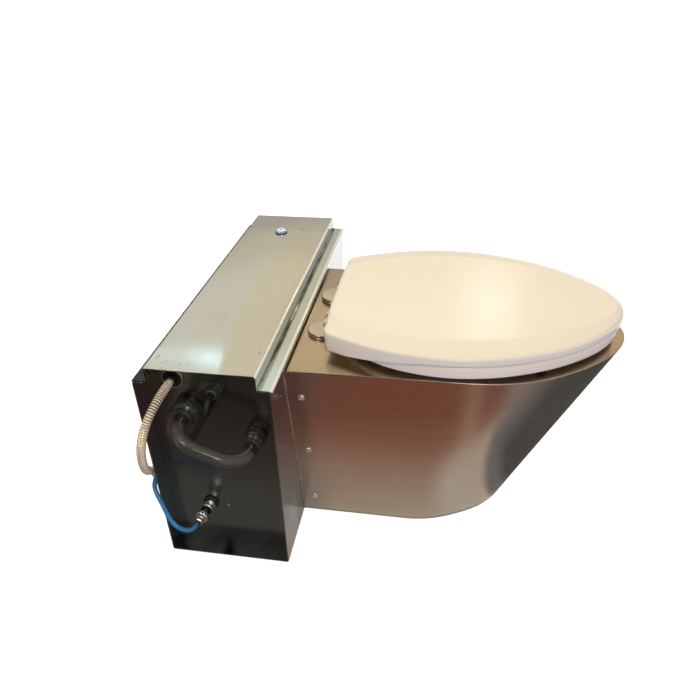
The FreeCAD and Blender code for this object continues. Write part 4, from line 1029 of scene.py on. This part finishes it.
def seat_mesh():
    n = 240
    out = loop_from_half(SEAT, n)
    hole = loop_from_half(HOLE, n)

    def ring(f, z, t=0.0):
        """f from the outer edge (0) to the opening (1)."""
        loop = out * (1 - f) + hole * f
        return [mm(PAN + p[0], p[1], z) for p in loop]

    def off(loop, t, z):
        return [mm(PAN + p[0], p[1], z) for p in inward(loop, t)]

    hole_out = -1.0
    rings = []
    # outer wall, bottom to top
    for t, z in ((9, 378.6), (5, 378.0), (2.2, 378.35), (0.7, 379.6), (0.05, 381.6), (0.0, 386), (0.0, 390.5), (0.25, 393.2), (1.2, 396.0), (3.0, 398.2), (5.6, 399.5), (9, 400.0)):
        rings.append(off(out, t, z))
    # crowned top, falling towards the opening
    for f, z in ((0.2, 400.0), (0.35, 399.9), (0.5, 399.4), (0.65, 398.4), (0.8, 396.9), (0.9, 395.2), (0.96, 393.2)):
        rings.append(ring(f, z))
    for t, z in ((-0.8, 391.0), (0.0, 388.4), (0.05, 384), (-0.3, 381.0), (-1.6, 379.0), (-4.0, 378.2), (-9, 378.6)):
        rings.append(off(hole, t, z))
    # hollow underside
    for f, z in ((0.78, 381.5), (0.6, 383.5), (0.4, 383.5), (0.22, 381.5)):
        rings.append(ring(f, z))
    body = rings_object("seat_moulding", rings, close=True, sharp=0)
    ears = []
    for i, s in ((0, 1), (1, -1)):
        a, b = sorted((HINGE_X[i] + s * 8.6, HINGE_X[i] + s * 18.6))
        ears.append(ear("seat_ear%d" % i, a, b, HY - 40, HY, HZ - 8, HZ + 4))
    return join("seat_moulding", [body] + ears)


seat = seat_mesh()
add(seat, "ivory", "seat", "ivory_plastic", "seat_ring")

# flat hinge discs with rounded edges
discs = [turned("disc%d" % i, [(0.5, 0.0), (26.6, 0.0), (27.6, 0.4), (28.0, 1.3), (28.0, 6.0), (27.7, 7.1), (26.9, 7.8), (25.8, 8.0), (12, 8.0), (0.5, 8.0)],
                mm(HINGE_X[i], -42, 367.5), (0, 0, 1), 96, closed=False, sharp=45) for i in (0, 1)]
add(join("hinge_disc_pair", discs), "disc", "base", "stainless", "hinge_discs")

# rubber buffers: domed pads on short stems
pads = [turned("pad%d%d" % (k, s), [(0.4, 0.35), (3.2, 0.45), (5.0, 0.8), (5.9, 1.4), (6.0, 2.1), (5.4, 2.6), (5.0, 3.2), (5.0, 5.4), (0.4, 5.4)],
               mm(PAN + s * x, y, 400), (0, 0, 1), 32, closed=False, sharp=50)
        for s in (-1, 1) for k, (x, y) in enumerate(((148, -215), (96, -440)))]
add(join("lid_pads", pads), "rubber", "lid", "black_rubber", "lid_bumpers")
pads = [turned("foot%d%d" % (k, s), [(0.5, 0.35), (4.2, 0.45), (6.2, 1.0), (7.0, 2.0), (7.0, 4.4), (6.2, 5.2), (5.6, 6.4), (5.6, 15.0), (0.5, 15.0)],
               mm(PAN + s * x, y, 367.5), (0, 0, 1), 32, closed=False, sharp=50)
        for s in (-1, 1) for k, (x, y) in enumerate(((140, -168), (134, -400)))]
add(join("seat_feet", pads), "rubber", "seat", "black_rubber", "seat_bumpers")

# ---------------------------------------------------------------------------
# near end: unions, moulded hose, gland, air coupler
# ---------------------------------------------------------------------------
OUT = (-1, 0, 0)
LEAN = (-0.98922, 0.14640, 0)        # the air coupler hangs a little to the rear
RE = 33.0
UL, UR = (151.5, 308.3), (43.0, 263.0)


def union(side, yz, thread, flange, nut, neck, depth, kind):
    at = mm(RE, *yz)
    body = turned("union_%s_tail" % side, [
        (9, -14), (thread - 0.6, -14), (thread, -13), (thread, 0), (flange - 0.6, 0, "hex"), (flange, 0.6, "hex"), (flange, depth - 1.2, "hex"),
        (flange * 0.93, depth, ""), (thread, depth), (thread, 13), (9, 13)], at, OUT, 96, spin=0.26)
    add(body, "black", "base", "black_plastic", "union_%s_body" % side)
    d = depth + 0.2
    rows = [(thread + 0.15, d), (nut - 1.4, d, kind), (nut - 0.4, d + 0.5, kind), (nut, d + 1.4, kind)]
    rows += [(nut, 15.2, kind), (nut - 0.3, 16.0, kind), (nut - 1.6, 17.2, ""), (nut - 2.4, 19.0, ""), (neck + 0.9, 20.4, ""), (neck, 21.4), (neck, 22.6),
             (neck - 0.7, 23.2), (neck - 0.7, 24.4), (neck, 25.0), (neck, 28.8), (neck - 0.4, 30.0), (neck - 1.5, 30.9), (11.5, 31), (11.2, 30), (11.2, 13), (thread + 0.15, 13)]
    cap = turned("union_%s_cap" % side, rows, at, OUT, 112, spin=0.1)
    add(cap, "black", "base", "black_plastic", "union_%s_nut" % side)


union("left", UL, 16.8, 24.5, 23, 17.8, 5, "rib")
union("right", UR, 12.8, 19, 18, 16, 4, "oct")


def moulded_hose():
    """Out of one union, round, and back into the other."""
    p0, p1 = Vector((RE - 13, *UL)), Vector((RE - 13, *UR))
    d = p1 - p0
    span = d.length
    d.normalize()
    R = 41.0
    out = Vector((-1, 0, 0))
    xs = RE - 13 - 24
    a0, b2 = Vector((xs, *UL)), Vector((xs, *UR))
    pts = [p0.lerp(a0, i / 10) for i in range(10)]
    for i in range(31):
        a = math.pi / 2 * i / 30
        pts.append(a0 + d * (R - R * math.cos(a)) + out * (R * math.sin(a)))
    q0, q1 = a0 + d * R + out * R, a0 + d * (span - R) + out * R
    pts += [q0.lerp(q1, i / 6) for i in range(1, 6)]
    for i in range(31):
        a = math.pi / 2 * (1 - i / 30)
        pts.append(b2 - d * (R - R * math.cos(a)) + out * (R * math.sin(a)))
    pts += [b2.lerp(p1, i / 10) for i in range(1, 11)]
    pts = [mm(*p) for p in pts]
    seg = 40
    rings = []
    fr = frames_along(pts)
    s = 0.0
    for k, (p, t, u, v) in enumerate(fr):
        if k:
            s += (p - fr[k - 1][0]).length
        ring = []
        for i in range(seg):
            a = TAU * i / seg
            n = u * math.cos(a) + v * math.sin(a)
            r = 11.0 + 0.06 * noise.noise(n * 2.0 + Vector((s * 40, 0, 0)))
            # fine parting line of the mould along the inside and outside of the bend
            r -= 0.10 * max(0.0, 1 - abs(math.sin(a - 0.4)) / 0.09) if abs(math.sin(a - 0.4)) < 0.09 else 0.0
            ring.append(p + n * min(r, 11.03) / 1000)
        rings.append(ring)
    return rings_object("rinse_hose_moulded", rings, sharp=60)


add(moulded_hose(), "hose", "base", "hose_rubber", "rinse_hose")

g = mm(RE, 101, 351)
gl = turned("gland_hex", [(0.6, -12), (10.0, -12), (10.5, -11.4), (10.5, 0), (13.8, 0, "hex"), (14.5, 0.6, "hex"), (14.5, 5.2, "hex"), (12.6, 6, ""), (0.6, 6)], g, OUT, 96, closed=False)
add(gl, "black", "base", "black_plastic", "gland_body")
gn = turned("gland_dome", [(0.6, 6.1), (10.4, 6.1, "rib"), (10.9, 6.8, "rib"), (10.9, 13.4, "rib"), (10.6, 14.6, "rib"), (10.0, 16.6, ""), (9.2, 17.8), (8.0, 18.7), (6.8, 19.0), (5.6, 18.8), (4.7, 18.2), (0.6, 18.2)],
            g, OUT, 112, closed=False)
add(gn, "black", "base", "black_plastic", "gland_nut")

sl = turned("coupler_sleeve", [(7.06, 9.3), (7.5, 9), (9.6, 9), (10.3, 9.4), (10.6, 10.1), (10.6, 12.3), (10.3, 13.0), (9.4, 13.8), (9.2, 14.5), (9.2, 24.9), (9.4, 25.6), (10.8, 27.0),
                               (11.8, 27.9), (12.2, 28.9), (12.2, 29.4, "knurl"), (12.2, 32.3, "knurl"), (12.2, 32.8), (11.8, 33.8), (10.9, 34.9), (9.4, 35.9), (7.6, 36), (7.06, 35.7)],
            mm(RE - 5, 142.5, 98), LEAN, 120)
add(sl, "chrome", "sleeve", "chrome", "air_sleeve")
# the waist between the sleeve's flanges is coloured dark
sl.data.materials.append(M["dark_waist_grey"])
for f in sl.data.polygons:
    s = (f.center - mm(RE - 5, 142.5, 98)).dot(Vector(LEAN))
    if 0.0142 < s < 0.0252 and f.normal.dot(f.center - mm(RE - 5, 142.5, 98) - Vector(LEAN) * s) > 0:
        f.material_index = 1

# ---------------------------------------------------------------------------
# the other CAD pieces keep their shape and get edges and a finish
# ---------------------------------------------------------------------------
FIN = {
    "end_panel_near": ("panel", 0.5), "end_panel_far": ("panel", 0.5), "cover_screws": ("bolt", 0.2),
    "button_gasket": ("rubber", 0.15), "button_housing": ("chrome", 0.25), "button_light_ring": ("ring", 0.15), "button_cap": ("white", 0.3), "button_nut": ("black", 0.3),
    "hose_ring": ("copper", 0.3), "water_inlet": ("inlet_shade", 0.3), "water_valve": ("brass", 0.8), "water_hose_nut": ("brass", 0.4),
    "air_washer": ("rubber", 0.2), "air_nipple": ("chrome", 0.25), "air_coupler": ("chrome", 0.25), "air_collet": ("black", 0.25),
    "air_tube_plug": ("chrome", 0.3), "air_regulator": ("alu", 1.2), "earth_stud": ("bolt", 0.2), "panel_locknuts": ("black", 0.4),
    "cable_end_sleeve": ("rubber", 0.2), "shroud_bolts": ("bolt", 0.15), "shroud_brackets": ("inside", 0.3), "bowl": ("bowl", 0.2), "rinse_nozzles": ("brass", 0.3),
    "hinge_posts": ("disc", 0.6), "hinge_pins": ("bolt", 0.3), "hinge_nuts": ("bolt", 0.3),
    "throat_seal": ("rubber", 0.2), "valve_body": ("alu", 0.8), "valve_gate": ("inside", 0.3), "valve_rod": ("bolt", 0.3), "valve_cylinder": ("alu", 0.6),
    "waste_pipe": ("inside", 0.3), "pipe_grommets": ("rubber", 0.5), "booster_tank": ("inside", 0.4), "tank_saddles": ("inside", 0.4), "control_unit": ("black", 1.5),
}
for name, (key, w) in FIN.items():
    o = NODE[name]
    o.data.materials.clear()
    o.data.materials.append(M[key])
    wd = o.modifiers.new("weld", "WELD")
    wd.merge_threshold = 2e-6
    bevel(o, w / 1000, 2, 42)

# ---------------------------------------------------------------------------
# stage: floor, reflecting boards, lights
# ---------------------------------------------------------------------------
fl = Mat("pale_floor")
nz = fl.noise(3.0, 3, 0.5)
fl.put("Base Color", fl.mix(fl.range(nz, 0.3, 0.7, 0, 1), (0.60, 0.60, 0.60), (0.64, 0.64, 0.64)))
fl.set(Roughness=0.9, Emission_Color=(1.0, 1.0, 1.0), Emission_Strength=0.74)
floor = mesh_object("floor", [(-60, -60, 0), (60, -60, 0), (60, 60, 0), (-60, 60, 0)], [(0, 1, 2, 3)], smooth=False)
floor.data.materials.append(fl.m)
floor.visible_diffuse = False

# a far pale backdrop behind the floor's horizon, which lights nothing
bd = Mat("pale_backdrop")
bd.set(Roughness=1.0, Emission_Color=(1.0, 1.0, 1.0), Emission_Strength=1.0)
ends = [(55 * math.cos(TAU * i / 48), 55 * math.sin(TAU * i / 48)) for i in range(48)]
backdrop = mesh_object("backdrop", [(x, y, 0) for x, y in ends] + [(x, y, 45) for x, y in ends], [(i, (i + 1) % 48, 48 + (i + 1) % 48, 48 + i) for i in range(48)], smooth=False)
backdrop.data.materials.append(bd.m)
backdrop.visible_diffuse = False
backdrop.visible_glossy = False
backdrop.visible_transmission = False
backdrop.visible_shadow = False
backdrop.visible_volume_scatter = False


def board(name, verts, build, strength=1.0):
    """A studio board that only polished surfaces see."""
    o = mesh_object(name, verts, [(0, 1, 2, 3)], smooth=False)
    mt = bpy.data.materials.new(name)
    mt.use_nodes = True
    t = mt.node_tree
    t.nodes.clear()
    w = Mat.__new__(Mat)
    w.m, w.t = mt, t
    w.co = t.nodes.new("ShaderNodeTexCoord").outputs["Object"]
    em = t.nodes.new("ShaderNodeEmission")
    em.inputs["Strength"].default_value = strength
    t.links.new(build(w), em.inputs["Color"])
    o_ = t.nodes.new("ShaderNodeOutputMaterial")
    t.links.new(em.outputs["Emission"], o_.inputs["Surface"])
    o.data.materials.append(mt)
    o.visible_camera = False
    o.visible_diffuse = False
    o.visible_shadow = False
    o.visible_transmission = False
    o.visible_volume_scatter = False
    return o


def ground_colours(w):
    x, y = w.axis(0), w.axis(1)
    soft = w.noise(4.0, 3, 0.5)
    # away from the pan's flank the ground turns from grey-beige to red-brown
    c = w.mix(w.range(x, -0.15, -0.31, 0, 1), (0.52, 0.44, 0.34), (0.33, 0.165, 0.115))
    c = w.mix(w.range(x, -0.27, -0.40, 0, 1, True), c, (0.235, 0.082, 0.052))
    c = w.mix(w.range(x, -0.55, -0.9, 0, 1, True), c, (0.16, 0.09, 0.06))
    # a paler patch beside the nose, a grey streak, then dark in front
    pale = w.math("MULTIPLY", w.range(y, -0.08, -0.17, 0, 1, True), w.range(x, -0.32, -0.20, 0, 1, True))
    c = w.mix(pale, c, (0.58, 0.54, 0.45))
    stripe = w.math("MULTIPLY", w.range(y, -0.15, -0.20, 0, 1, True), w.range(y, -0.27, -0.22, 0, 1, True))
    c = w.mix(w.math("MULTIPLY", stripe, 0.38), c, (0.62, 0.44, 0.34))
    c = w.mix(w.range(y, -0.32, -0.39, 0, 1, True), c, (0.335, 0.26, 0.25))
    c = w.mix(w.range(y, -0.44, -0.60, 0, 1, True), c, (0.16, 0.14, 0.13))
    edge = w.math("ADD", y, w.math("MULTIPLY", x, -0.55))
    violet = w.math("MULTIPLY", w.range(edge, -0.150, -0.178, 0, 1, True), w.range(y, -0.19, -0.23, 0, 1, True))
    c = w.mix(w.math("MULTIPLY", violet, w.range(x, -0.30, -0.22, 0, 1, True)), c, (0.19, 0.175, 0.175))
    dark = w.math("MULTIPLY", w.range(edge, -0.205, -0.245, 0, 1, True), w.range(x, -0.22, -0.13, 0, 1, True))
    c = w.mix(dark, c, (0.085, 0.083, 0.075))
    # before the cabinet's end it is near black
    corner = w.math("MULTIPLY", w.range(y, 0.085, 0.140, 0, 1, True), w.range(x, -0.31, -0.16, 0, 1, True))
    c = w.mix(w.math("MULTIPLY", corner, 0.75), c, (0.26, 0.26, 0.235))
    end = w.mix(w.range(x, -0.36, -0.47, 0, 1, True), (0.155, 0.150, 0.135), (0.115, 0.092, 0.082))
    end = w.mix(w.range(x, -0.50, -0.62, 0, 1, True), end, (0.062, 0.052, 0.044))
    end = w.mix(w.range(x, -0.31, -0.27, 0, 0.4, True), end, (0.09, 0.09, 0.085))
    c = w.mix(w.range(y, 0.155, 0.205, 0, 1, True), c, end)
    # beyond the far end it is white
    c = w.mix(w.range(x, 0.34, 0.5, 0, 1, True), c, (1.5, 1.5, 1.5))
    c = w.mix(w.range(soft, 0.35, 0.7, 0, 0.12), c, (0.12, 0.10, 0.085))
    return c


board("ground_board", [(-2.2, -2.0, 0.0015), (2.2, -2.0, 0.0015), (2.2, 2.0, 0.0015), (-2.2, 2.0, 0.0015)], ground_colours)


def wall_colours(w):
    """The far wall as the cover and the deck see it: cool and pale at the left, warm at the right, darker below."""
    y, z = w.axis(1), w.axis(2)
    bound = w.math("SUBTRACT", w.math("ADD", y, w.math("ADD", w.math("MULTIPLY", w.math("MINIMUM", z, 2.04), -0.4), w.math("MULTIPLY", z, -0.1))), 0.22)
    c = w.mix(w.range(bound, -0.02, 0.02, 0, 1, True), (0.87, 0.80, 0.62), (0.83, 0.82, 0.74))
    c = w.mix(w.range(y, 0.80, 0.30, 0, 1, True), c, (0.86, 0.70, 0.45))
    c = w.mix(w.range(z, 1.60, 1.30, 0, 1, True), c, (0.70, 0.65, 0.53))
    c = w.mix(w.range(z, 1.28, 1.18, 0, 1, True), c, (0.56, 0.54, 0.48))
    level = w.math("SUBTRACT", z, w.math("MULTIPLY", w.math("SUBTRACT", y, 1.35), -0.32))
    glow = w.math("MULTIPLY", w.range(bound, 0.0, 0.03, 0, 1, True), w.math("MULTIPLY", w.range(level, 2.085, 2.195, 0, 1, True), w.range(level, 2.320, 2.245, 0.15, 1, True)))
    side = w.range(y, 1.40, 1.80, 1, 0.36, True)
    c = w.mix(w.math("MULTIPLY", glow, side), c, (1.30, 1.66, 1.76))
    return c


board("wall_board", [(2.31, -1.6, 0.5), (2.31, 4.0, 0.5), (2.31, 4.0, 4.2), (2.31, -1.6, 4.2)], wall_colours)


def flat_colour(a, b):
    def f(w):
        return w.mix(w.range(w.noise(2.0, 2, 0.5), 0.35, 0.65, 0, 1), a, b)
    return f


board("side_board", [(-1.75, -0.1, 0.002), (-1.75, 2.6, 0.002), (-1.75, 2.6, 2.6), (-1.75, -0.1, 2.6)], flat_colour((0.035, 0.035, 0.038), (0.075, 0.07, 0.07)))
board("rear_board", [(-0.6, 1.3, 0.002), (2.6, 1.3, 0.002), (2.6, 1.3, 0.72), (-0.6, 1.3, 0.72)], flat_colour((0.03, 0.03, 0.03), (0.05, 0.05, 0.05)))


def area(name, loc, target, size, power, col=(1, 1, 1), size_y=None, glossy=True, diffuse=True):
    la = bpy.data.lights.new(name, "AREA")
    la.energy = power
    la.color = col
    la.size = size
    if size_y:
        la.shape = "RECTANGLE"
        la.size_y = size_y
    o = link(name, la)
    o.location = loc
    o.rotation_euler = (Vector(target) - Vector(loc)).to_track_quat("-Z", "Y").to_euler()
    o.visible_glossy = glossy
    o.visible_diffuse = diffuse
    return o


area("overhead", (0.1, 0.1, 3.4), (0, 0, 0), 3.4, 31, (1.0, 0.97, 0.93), glossy=False)
area("side_soft", (2.7, 0.3, 2.3), (0.0, -0.1, 0.4), 1.5, 36, (1.0, 0.96, 0.90), glossy=False)
area("lid_light", (2.200, -0.342, 1.705), (-0.09, -0.167, 0.42), 0.24, 1.0, (1.0, 0.98, 0.95), diffuse=False)
area("front_fill", (-2.2, -2.4, 1.5), (0, 0, 0.3), 1.8, 20, (0.95, 0.86, 1.0), glossy=False)
area("end_key", (-1.9, -0.5, 1.9), (-0.3, 0.25, 0.28), 0.30, 7.5, (1.0, 0.98, 0.96))
area("hose_light", (-1.0, 0.75, 1.35), (-0.3, 0.25, 0.25), 0.35, 2.6, (1.0, 0.96, 0.9))

world = bpy.data.worlds.new("studio")
scene.world = world
world.use_nodes = True
bg = world.node_tree.nodes["Background"]
wt = world.node_tree
tc = wt.nodes.new("ShaderNodeTexCoord")
sx = wt.nodes.new("ShaderNodeSeparateXYZ")
mr = wt.nodes.new("ShaderNodeMapRange")
mr.inputs["From Min"].default_value = -0.06
mr.inputs["From Max"].default_value = 0.06
mc = wt.nodes.new("ShaderNodeMix")
mc.data_type = "RGBA"
ids = {s.identifier: s for s in mc.inputs}
ids["A_Color"].default_value = (0.82, 0.90, 1.49, 1)
ids["B_Color"].default_value = (0.86, 0.83, 0.74, 1)
wt.links.new(tc.outputs["Generated"], sx.inputs["Vector"])
wt.links.new(sx.outputs["Z"], mr.inputs["Value"])
wt.links.new(mr.outputs["Result"], ids["Factor_Float"])
wt.links.new([o for o in mc.outputs if o.identifier == "Result_Color"][0], bg.inputs["Color"])
bg.inputs["Strength"].default_value = 0.55
